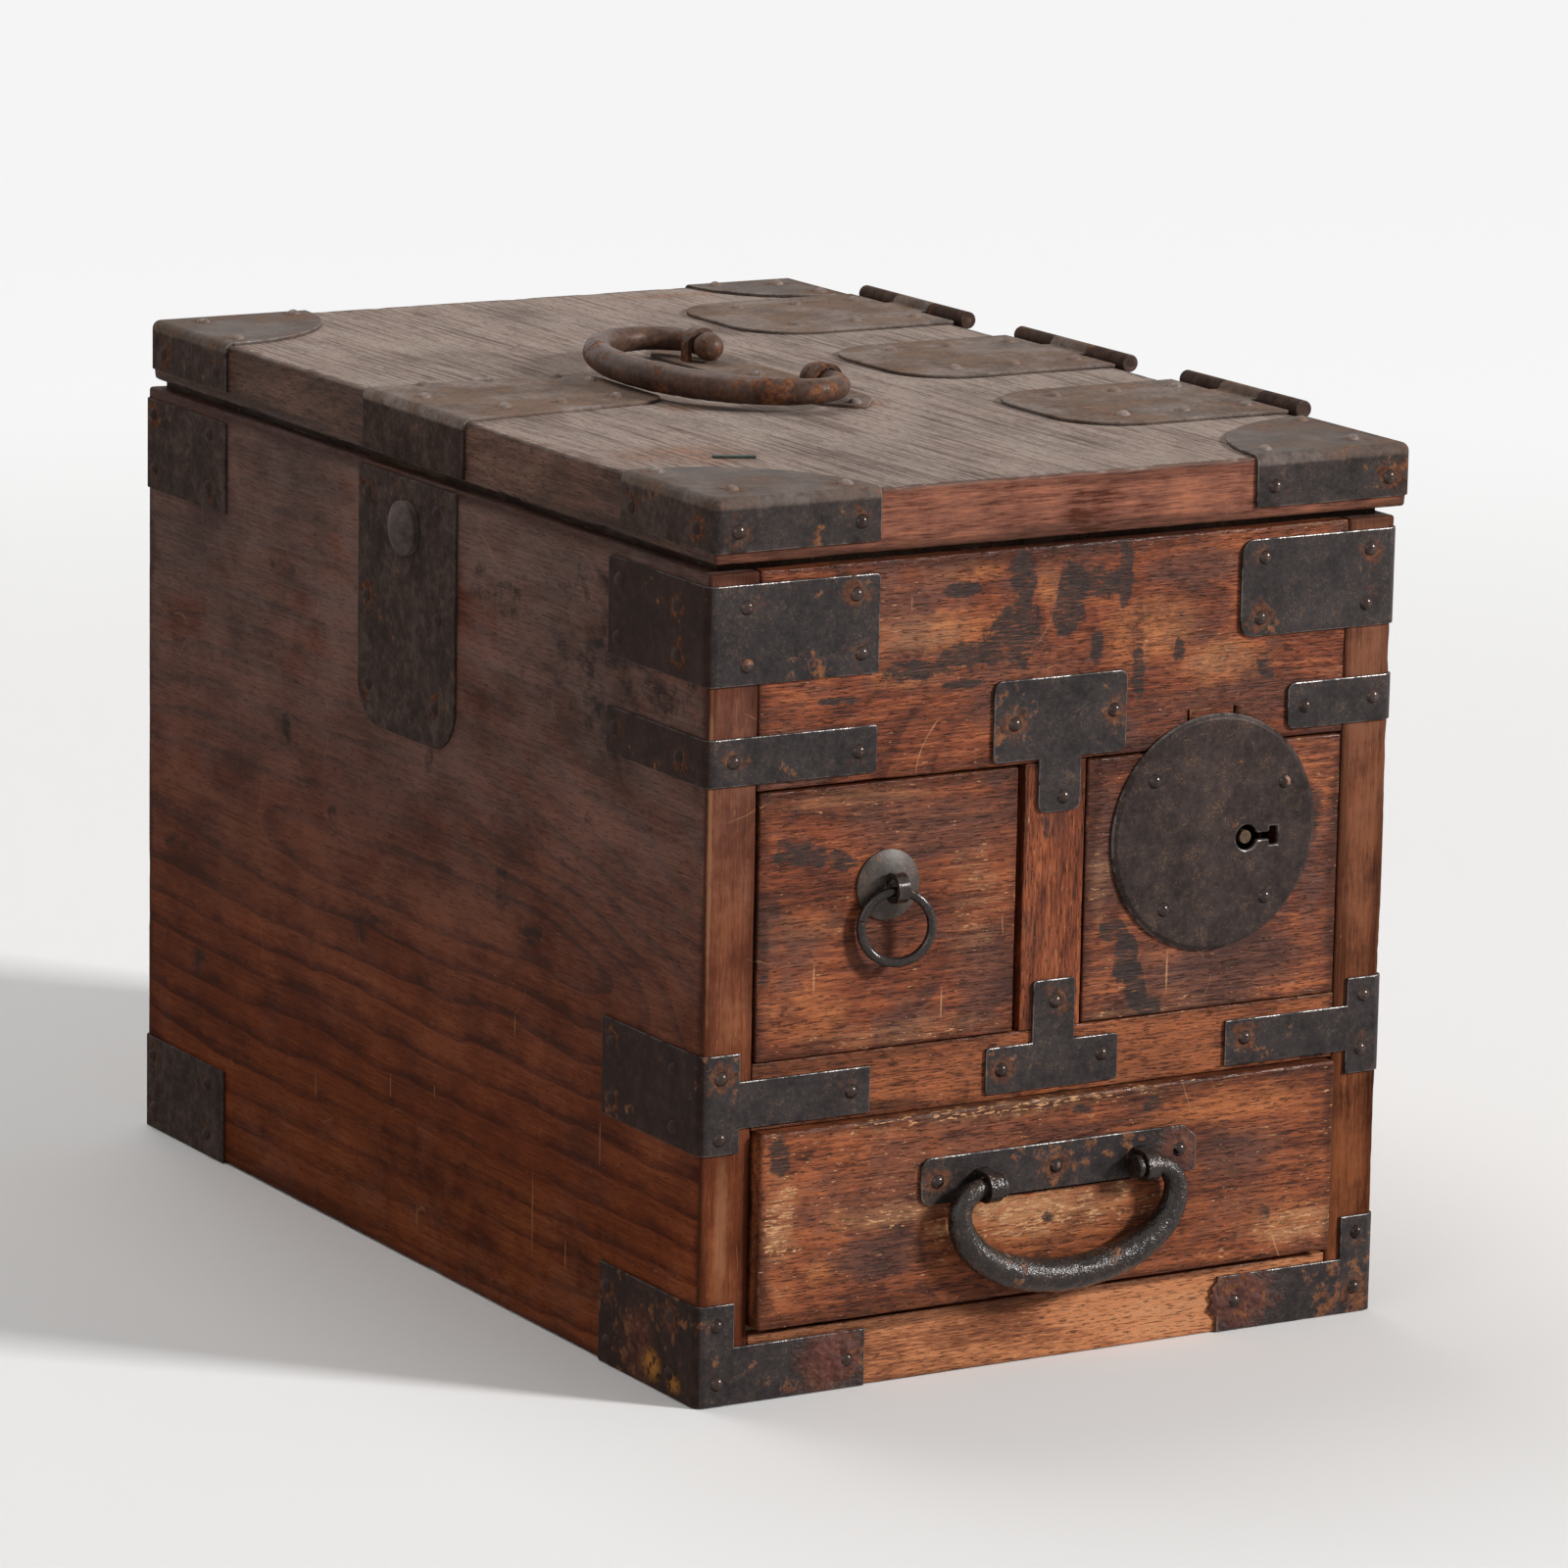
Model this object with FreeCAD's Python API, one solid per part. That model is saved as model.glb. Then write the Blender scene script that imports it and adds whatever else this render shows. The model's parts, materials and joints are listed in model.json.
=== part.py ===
"""Iron-mounted ship chest: a lidded case with two small drawers above a wide one.

Frame: millimetres, +Z up.  The origin is the centre of the case's underside.
The drawers face -Y, the lid is hinged along the +X side.
"""
import FreeCAD, Part
import math
import os

V = FreeCAD.Vector

# ---------------------------------------------------------------- driving sizes: the case
CASE_WIDTH = 270.0
CASE_DEPTH = 420.0
CASE_HEIGHT = 282.0
BOARD = 19.0              # side boards
BACK_THICK = 15.0
FLOOR_THICK = 15.0        # bottom board and drawer shelf
RUNNER_WIDTH = 16.0
GUIDE_HEIGHT = 10.0
RIM_SET_IN = 5.0
RIM_WIDTH = 7.0
RIM_CLEAR = 0.3           # between the rim strips and the closed lid
TRAY_FLOOR_THICK = 10.0
RAIL_DEPTH = 24.0         # bottom and middle rails, and the divider
TOP_RAIL_DEPTH = 20.0
BOTTOM_RAIL_HEIGHT = 23.0
WIDE_OPENING_HEIGHT = 70.0
MIDDLE_RAIL_HEIGHT = 23.0
SMALL_OPENING_HEIGHT = 92.0
DIVIDER_WIDTH = 24.0
PARTITION_THICK = 12.0
DADO = 5.0                # how far shelves enter the side boards
EDGE_ROUND = 2.5          # worn outer edges of the case

# ---------------------------------------------------------------- driving sizes: the lid
LID_GAP = 3.0             # between the case's rim and the lid
LID_THICK = 21.0
LID_LEFT_INSET = 1.3
LID_RIGHT_OVERHANG = 3.5
LID_FRONT_OVERHANG = 1.0
LID_BACK_INSET = 1.8
LID_ROUND = 2.0

# ---------------------------------------------------------------- driving sizes: drawers
DRAWER_GAP = 0.6          # beside a drawer front
DRAWER_TOP_GAP = 0.6
DRAWER_UNDER_GAP = 0.3    # between a drawer and what it slides on
RING_DRAWER_SIDE_GAP = 2.8
FRONT_THICK = 16.0
SMALL_FRONT_PROUD = 0.3
WIDE_FRONT_PROUD = 4.5
DRAWER_SIDE = 9.0
DRAWER_BACK = 9.0
DRAWER_BOTTOM = 6.0
DRAWER_BOTTOM_UP = 3.0    # from the lower edge of a side to its groove
GROOVE = 3.0
SIDE_BELOW_FRONT = 3.0    # sides are lower than the front by this
DRAWER_REAR_ROOM = 15.0   # behind a closed drawer
REBATE = 8.0              # how far a side enters the front
SMALL_FRONT_ROUND = 1.0
WIDE_FRONT_ROUND = 2.5

# ---------------------------------------------------------------- driving sizes: iron
PLATE = 1.2
STRAP = 1.3
NAIL_HEAD_RADIUS = 2.5
NAIL_HEAD_HEIGHT = 1.6
NAIL_SHANK_RADIUS = 1.1
NAIL_LENGTH = 9.0
CLEAR = 0.3               # between pieces that move past each other

# corner plates
FACE_ARM = 64.0
SIDE_ARM = 66.0
RIGHT_BACK_ARM = 48.0     # short, to clear the rear hinge leaf
LID_CORNER_RADIUS = 62.0
LID_SHORT_RADIUS = 46.0

# hinges
HINGE_OFF_EDGE = 6.5      # pin axis beyond the lid's edge
HINGE_ABOVE_LID = 1.0
BARREL_RADIUS = 3.2
PIN_RADIUS = 1.5
PIN_FIT = 0.05            # radial running fit of the pin
STRAP_LENGTH = 82.5
STRAP_END_RADIUS = 24.0
STRAP_NAIL_FROM_EDGE = (8.0, 34.0, 59.0)
KNUCKLE_GAP = 0.3
LEAF_THICK = 1.2
LEAF_SET_IN = 0.5         # outer face of the upright leaf from the pin axis
LEAF_DROP = 46.0          # length of the leaf on the case side
LEAF_TURN = 6.0           # height of the leaf's joggle

# lid handle
LID_BAIL_PIVOT_X = 4.0
LID_BAIL_CENTRE_Y = -2.0
LID_BAIL_HALF_SPAN = 44.5
LID_BAIL_HALF_WIDTH = 64.8
LID_BAIL_REACH = 52.3
LID_BAIL_SHOULDER = 15.0
LID_BAIL_HEIGHT = 7.2     # pivot above the lid
LID_BAIL_NECK = 4.2
LID_BAIL_ARM = 4.6
LID_BAIL_BELLY = 5.5
LID_BAIL_BALL = 5.5

# wide drawer's handle
DRAWER_BAIL_CENTRE_X = 2.3
DRAWER_BAIL_DOWN = 26.5   # pivot below the wide drawer's opening
DRAWER_BAIL_HALF_SPAN = 31.5
DRAWER_PLATE_HALF = 55.0
DRAWER_BAIL_HALF_WIDTH = 43.3
DRAWER_BAIL_REACH = 34.0
DRAWER_BAIL_SHOULDER = 9.0
DRAWER_BAIL_STAND = 6.0   # pivot in front of the plate
DRAWER_BAIL_NECK = 3.4
DRAWER_BAIL_ARM = 4.4
DRAWER_BAIL_BELLY = 6.3
DRAWER_BAIL_HEAD = 4.5
STAPLE_PLAY = 0.3         # radial play of a bail in its staple
STAPLE_BAND = 1.6
STAPLE_WIDTH = 5.0
STAPLE_LEG = 10.0         # leg below the staple's round

# ring pull
ROSETTE_RADIUS = 12.0
ROSETTE_WALL = 0.8
ROSETTE_RISE = 2.4
EYE_STAND = 6.6           # eye centre in front of the drawer
EYE_BORE = 3.6
EYE_OUTER = 5.2
EYE_WIDTH = 4.4
RING_WIRE = 1.65
RING_RADIUS = 12.1
RING_DROP = 1.2           # wire centre below the eye's centre
RING_YAW = 18.0           # the ring hangs askew by this angle
RING_SPLIT = 0.5

# lock
LOCK_RADIUS = 41.2
LOCK_PLATE = 2.0
LOCK_LAP = 11.0           # how far the plate stands over the rail above
LOCK_NAIL_CIRCLE = 32.0
KEYHOLE_RADIUS = 4.4
POST_RADIUS = 2.3
BOLT_WIDTH = 12.0
BOLT_THICK = 5.0
BOLT_THROW = 9.0
BOLT_LENGTH = 46.0
BOLT_BEHIND = 6.5         # bolt's front face behind the drawer's face

# lid latch
LATCH_DOWN = 18.7         # latch axis below the case's rim
KNOB_RADIUS = 9.6
KNOB_WALL = 2.5
KNOB_RISE = 2.8
KNOB_SHAFT = 3.0
CAM_LENGTH = 17.0
CAM_HALF = 3.5
CAM_THICK = 3.0
CAM_OFF_WALL = 6.0
LATCH_PLATE_HALF = 36.3
LATCH_PLATE_DROP = 93.5
LATCH_PLATE_Y = 1.2
KEEPER_THICK = 3.0

# ---------------------------------------------------------------- places worked out
LEFT = -CASE_WIDTH / 2
RIGHT = CASE_WIDTH / 2
FRONT = -CASE_DEPTH / 2
BACK = CASE_DEPTH / 2
INNER_LEFT = LEFT + BOARD
INNER_RIGHT = RIGHT - BOARD
INNER_BACK = BACK - BACK_THICK
WIDE_Z0 = BOTTOM_RAIL_HEIGHT
WIDE_Z1 = WIDE_Z0 + WIDE_OPENING_HEIGHT
SMALL_Z0 = WIDE_Z1 + MIDDLE_RAIL_HEIGHT
SMALL_Z1 = SMALL_Z0 + SMALL_OPENING_HEIGHT
RAIL_BACK = FRONT + RAIL_DEPTH

LID_X0 = LEFT + LID_LEFT_INSET
LID_X1 = RIGHT + LID_RIGHT_OVERHANG
LID_Y0 = FRONT - LID_FRONT_OVERHANG
LID_Y1 = BACK - LID_BACK_INSET
LID_Z0 = CASE_HEIGHT + LID_GAP
LID_Z1 = LID_Z0 + LID_THICK

HINGE_X = LID_X1 + HINGE_OFF_EDGE
HINGE_Z = LID_Z1 + HINGE_ABOVE_LID

STRAP_ROOM = CASE_DEPTH - SIDE_ARM - RIGHT_BACK_ARM
STRAP_WIDTH = 0.245 * STRAP_ROOM
STRAP_PITCH = 0.366 * STRAP_ROOM
STRAP_MIDDLE_Y = (SIDE_ARM - RIGHT_BACK_ARM) / 2 + 0.008 * STRAP_ROOM
STRAP_NAIL_ROW = 0.3 * STRAP_WIDTH
STRAP_CENTRES_Y = [STRAP_MIDDLE_Y + step * STRAP_PITCH for step in (-1, 0, 1)]
LATCH_Z = CASE_HEIGHT - LATCH_DOWN
RING_X = -(DIVIDER_WIDTH / 2 + INNER_RIGHT) / 2 - 1.5
RING_EYE_Z = SMALL_Z1 - 35.7
LOCK_X = (DIVIDER_WIDTH / 2 + INNER_RIGHT) / 2 - 0.5
LOCK_Z = SMALL_Z1 + LOCK_LAP - LOCK_RADIUS
KEY_X = LOCK_X + 13.0
KEY_Z = LOCK_Z - 2.8
BOLT_X = LOCK_X - 1.5
DRAWER_BAIL_PIVOT_Z = WIDE_Z1 - DRAWER_BAIL_DOWN


# ---------------------------------------------------------------- shape helpers
def box(x0, x1, y0, y1, z0, z1):
    """Block between two corners."""
    return Part.makeBox(x1 - x0, y1 - y0, z1 - z0, V(x0, y0, z0))


def rod(start, direction, radius, length):
    """Round bar from a start point along a direction."""
    return Part.makeCylinder(radius, length, start, direction)


def in_front(u, v, depth):
    """Point of an outline drawn on a plane that faces -Y."""
    return V(u, depth, v)


def in_side(u, v, depth):
    """Point of an outline drawn on a plane that faces -X or +X."""
    return V(depth, u, v)


def in_top(u, v, depth):
    """Point of an outline drawn on a level plane."""
    return V(u, v, depth)


def rounded_prism(corners, plane, depth0, depth1):
    """Prism on an outline of (u, v, radius) corners between two depths of its plane."""
    count = len(corners)
    ends = []
    for i in range(count):
        u, v, radius = corners[i]
        before = corners[i - 1]
        after = corners[(i + 1) % count]
        to_before = V(before[0] - u, before[1] - v, 0)
        to_after = V(after[0] - u, after[1] - v, 0)
        to_before.normalize()
        to_after.normalize()
        here = V(u, v, 0)
        if radius <= 0:
            ends.append((here, None, here))
            continue
        half = to_before.getAngle(to_after) / 2
        run = radius / math.tan(half)
        bisector = to_before + to_after
        bisector.normalize()
        middle = here + bisector * (radius / math.sin(half) - radius)
        ends.append((here + to_before * run, middle, here + to_after * run))
    edges = []
    for i in range(count):
        start, middle, finish = ends[i]
        if middle is not None:
            arc = Part.Arc(plane(start.x, start.y, depth0), plane(middle.x, middle.y, depth0),
                           plane(finish.x, finish.y, depth0))
            edges.append(arc.toShape())
        onward = ends[(i + 1) % count][0]
        if (onward - finish).Length > 1e-6:
            edges.append(Part.makeLine(plane(finish.x, finish.y, depth0),
                                       plane(onward.x, onward.y, depth0)))
    face = Part.Face(Part.Wire(edges))
    return face.extrude(plane(0, 0, depth1) - plane(0, 0, depth0))


def rect(u0, u1, v0, v1, radii=(0, 0, 0, 0)):
    """Rectangle corners with their radii: low-left, low-right, high-right, high-left."""
    return [(u0, v0, radii[0]), (u1, v0, radii[1]), (u1, v1, radii[2]), (u0, v1, radii[3])]


def round_edges(shape, radius, wanted):
    """Shape with a radius on each edge that wanted(edge) accepts."""
    edges = [edge for edge in shape.Edges if wanted(edge)]
    return shape.makeFillet(radius, edges)


def is_upright(edge):
    """True for an edge along Z."""
    a = edge.Vertexes[0].Point
    b = edge.Vertexes[-1].Point
    return abs(a.x - b.x) < 1e-6 and abs(a.y - b.y) < 1e-6


def case_envelope(grow):
    """The case's outer block grown outwards, with its worn outer edges; its foot stays sharp."""
    block = box(LEFT - grow, RIGHT + grow, FRONT - grow, BACK + grow, 0, CASE_HEIGHT + grow)
    return round_edges(block, EDGE_ROUND + grow, lambda e: is_upright(e) or e.BoundBox.ZMin > 1)


def lid_envelope(grow):
    """The lid's block grown outwards, with all its edges rounded."""
    block = box(LID_X0 - grow, LID_X1 + grow, LID_Y0 - grow, LID_Y1 + grow,
                LID_Z0 - grow, LID_Z1 + grow)
    return round_edges(block, LID_ROUND + grow, lambda e: True)


def fuse_all(shapes):
    """One shape from several that touch or overlap."""
    whole = shapes[0]
    if len(shapes) > 1:
        whole = whole.multiFuse(shapes[1:])
    return whole.removeSplitter()


def save(name, solids):
    """Write the solids of one named piece to its STEP file, and report them."""
    for solid in solids:
        if not solid.isValid() or solid.Volume <= 0:
            print("BAD", name)
    shape = solids[0] if len(solids) == 1 else Part.makeCompound(solids)
    shape.exportStep("parts/" + name + ".step")
    print(name, len(shape.Solids), round(shape.Volume, 1))


# ---------------------------------------------------------------- nails
def nail():
    """Hand-made nail: domed head on the plane Z=0, shank below it."""
    dome = (NAIL_HEAD_RADIUS ** 2 + NAIL_HEAD_HEIGHT ** 2) / (2 * NAIL_HEAD_HEIGHT)
    low = math.degrees(math.asin((dome - NAIL_HEAD_HEIGHT) / dome))
    centre = V(0, 0, NAIL_HEAD_HEIGHT - dome)
    head = Part.makeSphere(dome, centre, V(0, 0, 1), low, 90, 360)
    shank = rod(V(0, 0, -NAIL_LENGTH), V(0, 0, 1), NAIL_SHANK_RADIUS, NAIL_LENGTH)
    return fuse_all([head, shank])


NAIL = nail()


class NailRow:
    """Nails driven through one face: where their heads sit and which way they point."""

    def __init__(self, outward):
        self.outward = outward
        self.points = []

    def add(self, points):
        """Add head points on the plate's outer face."""
        self.points.extend(points)

    def solids(self):
        """The nails themselves."""
        turn = FreeCAD.Rotation(V(0, 0, 1), self.outward)
        made = []
        for point in self.points:
            one = NAIL.copy()
            one.Placement = FreeCAD.Placement(point, turn)
            made.append(one)
        return made

    def holes(self):
        """Rods to cut from what the nails pass through."""
        return [rod(p + self.outward, self.outward * -1, NAIL_SHANK_RADIUS, NAIL_LENGTH + 1)
                for p in self.points]


def drilled(shape, rows):
    """Shape with the nail holes of the rows that reach it."""
    reach = shape.BoundBox
    cutters = []
    for row in rows:
        for hole in row.holes():
            if reach.intersect(hole.BoundBox):
                cutters.append(hole)
    if cutters:
        shape = shape.cut(Part.makeCompound(cutters))
    return shape.Solids[0]


OUT_FRONT = V(0, -1, 0)
OUT_BACK = V(0, 1, 0)
OUT_LEFT = V(-1, 0, 0)
OUT_RIGHT = V(1, 0, 0)
OUT_TOP = V(0, 0, 1)

case_front_nails = NailRow(OUT_FRONT)
case_back_nails = NailRow(OUT_BACK)
case_left_nails = NailRow(OUT_LEFT)
case_right_nails = NailRow(OUT_RIGHT)
CASE_ROWS = (case_front_nails, case_back_nails, case_left_nails, case_right_nails)
lid_front_nails = NailRow(OUT_FRONT)
lid_back_nails = NailRow(OUT_BACK)
lid_left_nails = NailRow(OUT_LEFT)
lid_right_nails = NailRow(OUT_RIGHT)
lid_top_nails = NailRow(OUT_TOP)
LID_ROWS = (lid_front_nails, lid_back_nails, lid_left_nails, lid_right_nails, lid_top_nails)


def nails_front(side, base, points):
    """Nails in the front, as (distance in from the case's side, height over the base)."""
    case_front_nails.add([V(side * (RIGHT - u), FRONT - PLATE, base + v) for u, v in points])


def nails_back(side, base, points):
    """Nails in the back, as (distance in from the case's side, height over the base)."""
    case_back_nails.add([V(side * (RIGHT - u), BACK + PLATE, base + v) for u, v in points])


def nails_left(end, base, points):
    """Nails in the left side, as (distance in from the front or back, height over the base)."""
    case_left_nails.add([V(LEFT - PLATE, end * (BACK - u), base + v) for u, v in points])


def nails_right(end, base, points):
    """Nails in the right side, as (distance in from the front or back, height over the base)."""
    case_right_nails.add([V(RIGHT + PLATE, end * (BACK - u), base + v) for u, v in points])


# ---------------------------------------------------------------- wrapped case plates
CASE_BODY = case_envelope(0)
CASE_SKIN = case_envelope(PLATE).cut(CASE_BODY)
OVER = EDGE_ROUND + 1.0   # how far a cutting region reaches past a rounded edge


def front_region(corners, back=False):
    """Region that picks a plate's shape on the front, or on the back, of the case."""
    if back:
        return rounded_prism(corners, in_front, BACK - OVER, BACK + PLATE + 1)
    return rounded_prism(corners, in_front, FRONT - PLATE - 1, FRONT + OVER)


def side_region(corners, right=False):
    """Region that picks a plate's shape on the left, or on the right, side of the case."""
    if right:
        return rounded_prism(corners, in_side, RIGHT - OVER, RIGHT + PLATE + 1)
    return rounded_prism(corners, in_side, LEFT - PLATE - 1, LEFT + OVER)


def case_plate(regions):
    """Sheet of iron that lies on the case wherever its regions are."""
    return CASE_SKIN.common(fuse_all(regions)).Solids[0]


def wrap(left_side, back_side, z0, z1, face_arm, side_arm, end_radius):
    """Strap round one upright corner of the case: an arm on each face."""
    u_out = PLATE + 2
    if left_side:
        face = rect(LEFT - u_out, LEFT + face_arm, z0, z1, (0, end_radius, end_radius, 0))
    else:
        face = rect(RIGHT - face_arm, RIGHT + u_out, z0, z1, (end_radius, 0, 0, end_radius))
    if back_side:
        side = rect(BACK - side_arm, BACK + u_out, z0, z1)
    else:
        side = rect(FRONT - u_out, FRONT + side_arm, z0, z1)
    return [front_region(face, back_side), side_region(side, not left_side)]


# ---------------------------------------------------------------- case iron
TOP_PLATE_Z1 = CASE_HEIGHT - 4.0
TOP_PLATE_Z0 = TOP_PLATE_Z1 - 33.5
BAND_Z0 = SMALL_Z1 + 3.0
BAND_Z1 = BAND_Z0 + 16.0
WAIST_Z0 = WIDE_Z1 - 6.5
WAIST_Z1 = SMALL_Z0 + 4.5
WAIST_ARM_Z0 = WIDE_Z1 + 1.8
WAIST_ARM_Z1 = SMALL_Z0 - 5.2
WAIST_POST = 13.8         # width of the upright part on the front
FOOT_POST_Z1 = WIDE_Z0 + 12.0
FOOT_ARM_Z1 = WIDE_Z0 - 3.2
SHORT_BAND_ARM = 42.5
SOFT_CORNER = 5.0


def corner_plates():
    """The deep straps near the top of the case's four corners."""
    plates = {}
    plates["corner_plate_front_left"] = wrap(True, False, TOP_PLATE_Z0, TOP_PLATE_Z1,
                                             FACE_ARM, SIDE_ARM, 1.5)
    plates["corner_plate_front_right"] = wrap(False, False, TOP_PLATE_Z0, TOP_PLATE_Z1,
                                              FACE_ARM - 1, SIDE_ARM, SOFT_CORNER)
    base = TOP_PLATE_Z0
    nails_front(-1, base, [(13.5, 25.9), (13.7, 6.5), (57.4, 7.1), (55.1, 27.1)])
    nails_front(1, base, [(10.5, 26.9), (53.6, 27.1), (11.6, 7.9), (54.8, 6.3)])
    nails_left(-1, base, [(58.5, 26.3), (19.5, 24.3), (59.2, 6.7), (19.2, 7.9)])
    nails_right(-1, base, [(59.0, 26.0), (20.0, 26.0), (59.0, 7.5), (20.0, 7.5)])
    return plates


def back_corner_plates():
    """Four plates on the back corners: two near the top, two at the foot."""
    made = []
    for left_side in (True, False):
        arm = SIDE_ARM if left_side else RIGHT_BACK_ARM
        made.append(case_plate(wrap(left_side, True, TOP_PLATE_Z0, TOP_PLATE_Z1, FACE_ARM, arm, 1.5)))
        made.append(case_plate(wrap(left_side, True, 0, FOOT_POST_Z1, FACE_ARM, arm, 1.5)))
        for base in (TOP_PLATE_Z0, 0.0):
            nails_back(-1 if left_side else 1, base,
                       [(56.0, 8.0), (56.0, 27.2), (13.0, 8.0), (13.0, 27.2)])
    for base in (TOP_PLATE_Z0, 0.0):
        nails_left(1, base, [(7.0, 28.2), (53.5, 27.8), (8.0, 8.0), (53.0, 8.5)])
        nails_right(1, base, [(8.0, 27.2), (40.0, 27.2), (8.0, 8.0), (40.0, 8.0)])
    return made


def bands():
    """The narrow straps between the top plates and the small drawers."""
    plates = {}
    plates["band_front_left"] = wrap(True, False, BAND_Z0, BAND_Z1, FACE_ARM, SIDE_ARM, 1.0)
    plates["band_front_right"] = wrap(False, False, BAND_Z0, BAND_Z1, SHORT_BAND_ARM, SIDE_ARM, 3.0)
    nails_front(-1, BAND_Z0, [(9.3, 8.2), (57.1, 7.6)])
    nails_front(1, BAND_Z0, [(35.4, 7.6), (7.5, 8.6)])
    nails_left(-1, BAND_Z0, [(61.0, 9.3), (16.8, 7.9)])
    nails_right(-1, BAND_Z0, [(60.0, 8.0), (17.0, 8.0)])
    return plates


def waist_brackets():
    """Straps at the middle rail: an upright on the side board's edge, an arm along the rail."""
    plates = {}
    out = PLATE + 2
    for name, sign in (("waist_bracket_left", -1), ("waist_bracket_right", 1)):
        outer = sign * (RIGHT + out)
        post = sign * (RIGHT - WAIST_POST)
        arm_end = sign * (RIGHT - FACE_ARM)
        upright = rect(min(outer, post), max(outer, post), WAIST_Z0, WAIST_Z1)
        arm = rect(min(outer, arm_end), max(outer, arm_end), WAIST_ARM_Z0, WAIST_ARM_Z1)
        side = rect(FRONT - out, FRONT + SIDE_ARM, WAIST_Z0, WAIST_Z1)
        plates[name] = [front_region(upright), front_region(arm), side_region(side, sign > 0)]
    nails_front(-1, WAIST_Z0, [(6.7, 26.1), (6.4, 5.5), (56.8, 16.4)])
    nails_front(1, WAIST_Z0, [(7.0, 27.7), (7.8, 8.7), (56.1, 17.7)])
    for nails in (nails_left, nails_right):
        nails(-1, WAIST_Z0, [(59.0, 26.2), (17.2, 26.1), (59.0, 6.8), (17.0, 6.4)])
    return plates


def foot_plates():
    """Plates at the foot of the front corners: an upright and a low arm."""
    plates = {}
    out = PLATE + 2
    for name, sign in (("foot_plate_front_left", -1), ("foot_plate_front_right", 1)):
        outer = sign * (RIGHT + out)
        post = sign * (RIGHT - WAIST_POST + 0.6)
        arm_end = sign * (RIGHT - FACE_ARM)
        upright = rect(min(outer, post), max(outer, post), 0, FOOT_POST_Z1)
        arm = rect(min(outer, arm_end), max(outer, arm_end), 0, FOOT_ARM_Z1)
        side = rect(FRONT - out, FRONT + SIDE_ARM, 0, FOOT_POST_Z1)
        plates[name] = [front_region(upright), front_region(arm), side_region(side, sign > 0)]
    nails_front(-1, 0.0, [(6.6, 28.0), (7.0, 8.0), (57.0, 10.0)])
    nails_front(1, 0.0, [(6.6, 29.0), (7.0, 9.2), (57.0, 10.5)])
    for nails in (nails_left, nails_right):
        nails(-1, 0.0, [(60.0, 27.5), (17.0, 27.5), (60.0, 8.0), (17.0, 8.0)])
    return plates


T_BAR_X = (-25.5, 27.0)
T_STEM_X = (-7.3, 9.3)
T_STEM_REACH = 17.0       # how far each stem runs along the divider


def t_plates():
    """The two T-shaped plates that tie the divider to the rails above and below it."""
    bar0, bar1 = T_BAR_X
    stem0, stem1 = T_STEM_X
    top = SMALL_Z1
    low = SMALL_Z0
    upper = front_region(rect(bar0, bar1, top + 1.6, top + 29.4, (2, 3, 3, 3)))
    upper_stem = front_region(rect(stem0, stem1, top - T_STEM_REACH, top + 4.0, (3, 3, 0, 0)))
    lower = front_region(rect(bar0, bar1, low - 20.6, low - 4.4, (1.5, 1.5, 1.5, 1.5)))
    lower_stem = front_region(rect(stem0, stem1, low - 6.0, low + T_STEM_REACH, (0, 0, 1.5, 1.5)))
    face = FRONT - PLATE
    case_front_nails.add([V(-17.3, face, top + 14.4), V(22.0, face, top + 16.0),
                          V(2.6, face, top - 12.0), V(1.6, face, low + 9.4),
                          V(20.6, face, low - 11.0), V(-19.4, face, low - 12.4)])
    return {"upper_t_plate": [upper, upper_stem], "lower_t_plate": [lower, lower_stem]}


def latch_plate():
    """Long plate on the left side under the lid's band, round at its foot."""
    outline = rect(LATCH_PLATE_Y - LATCH_PLATE_HALF, LATCH_PLATE_Y + LATCH_PLATE_HALF,
                   CASE_HEIGHT - LATCH_PLATE_DROP, CASE_HEIGHT - 1.5, (16, 16, 1, 1))
    face = LEFT - PLATE
    for down, back_y, front_y in ((10.0, 28.6, -23.0), (47.4, 28.9, -24.4), (78.9, 27.6, -22.8)):
        case_left_nails.add([V(face, LATCH_PLATE_Y + back_y, CASE_HEIGHT - down),
                             V(face, LATCH_PLATE_Y + front_y, CASE_HEIGHT - down)])
    plate = case_plate([side_region(outline)])
    shaft = rod(V(LEFT - PLATE - 1, 0, LATCH_Z), OUT_RIGHT, KNOB_SHAFT + PIN_FIT, PLATE + 2)
    return plate.cut(shaft)


# ---------------------------------------------------------------- hinges
def knuckle_spans(centre):
    """Y spans of a barrel's three knuckles."""
    third = STRAP_WIDTH / 3
    low = centre - STRAP_WIDTH / 2
    half_gap = KNUCKLE_GAP / 2
    return [(low, low + third - half_gap),
            (low + third + half_gap, low + 2 * third - half_gap),
            (low + 2 * third + half_gap, low + STRAP_WIDTH)]


def knuckle(span):
    """One rolled knuckle, before its bore."""
    return rod(V(HINGE_X, span[0], HINGE_Z), OUT_BACK, BARREL_RADIUS, span[1] - span[0])


def barrel_bore(centre, fit):
    """The bore through a whole barrel, larger than the pin by a radial fit."""
    start = V(HINGE_X, centre - STRAP_WIDTH / 2 - 1, HINGE_Z)
    return rod(start, OUT_BACK, PIN_RADIUS + fit, STRAP_WIDTH + 2)


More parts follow.
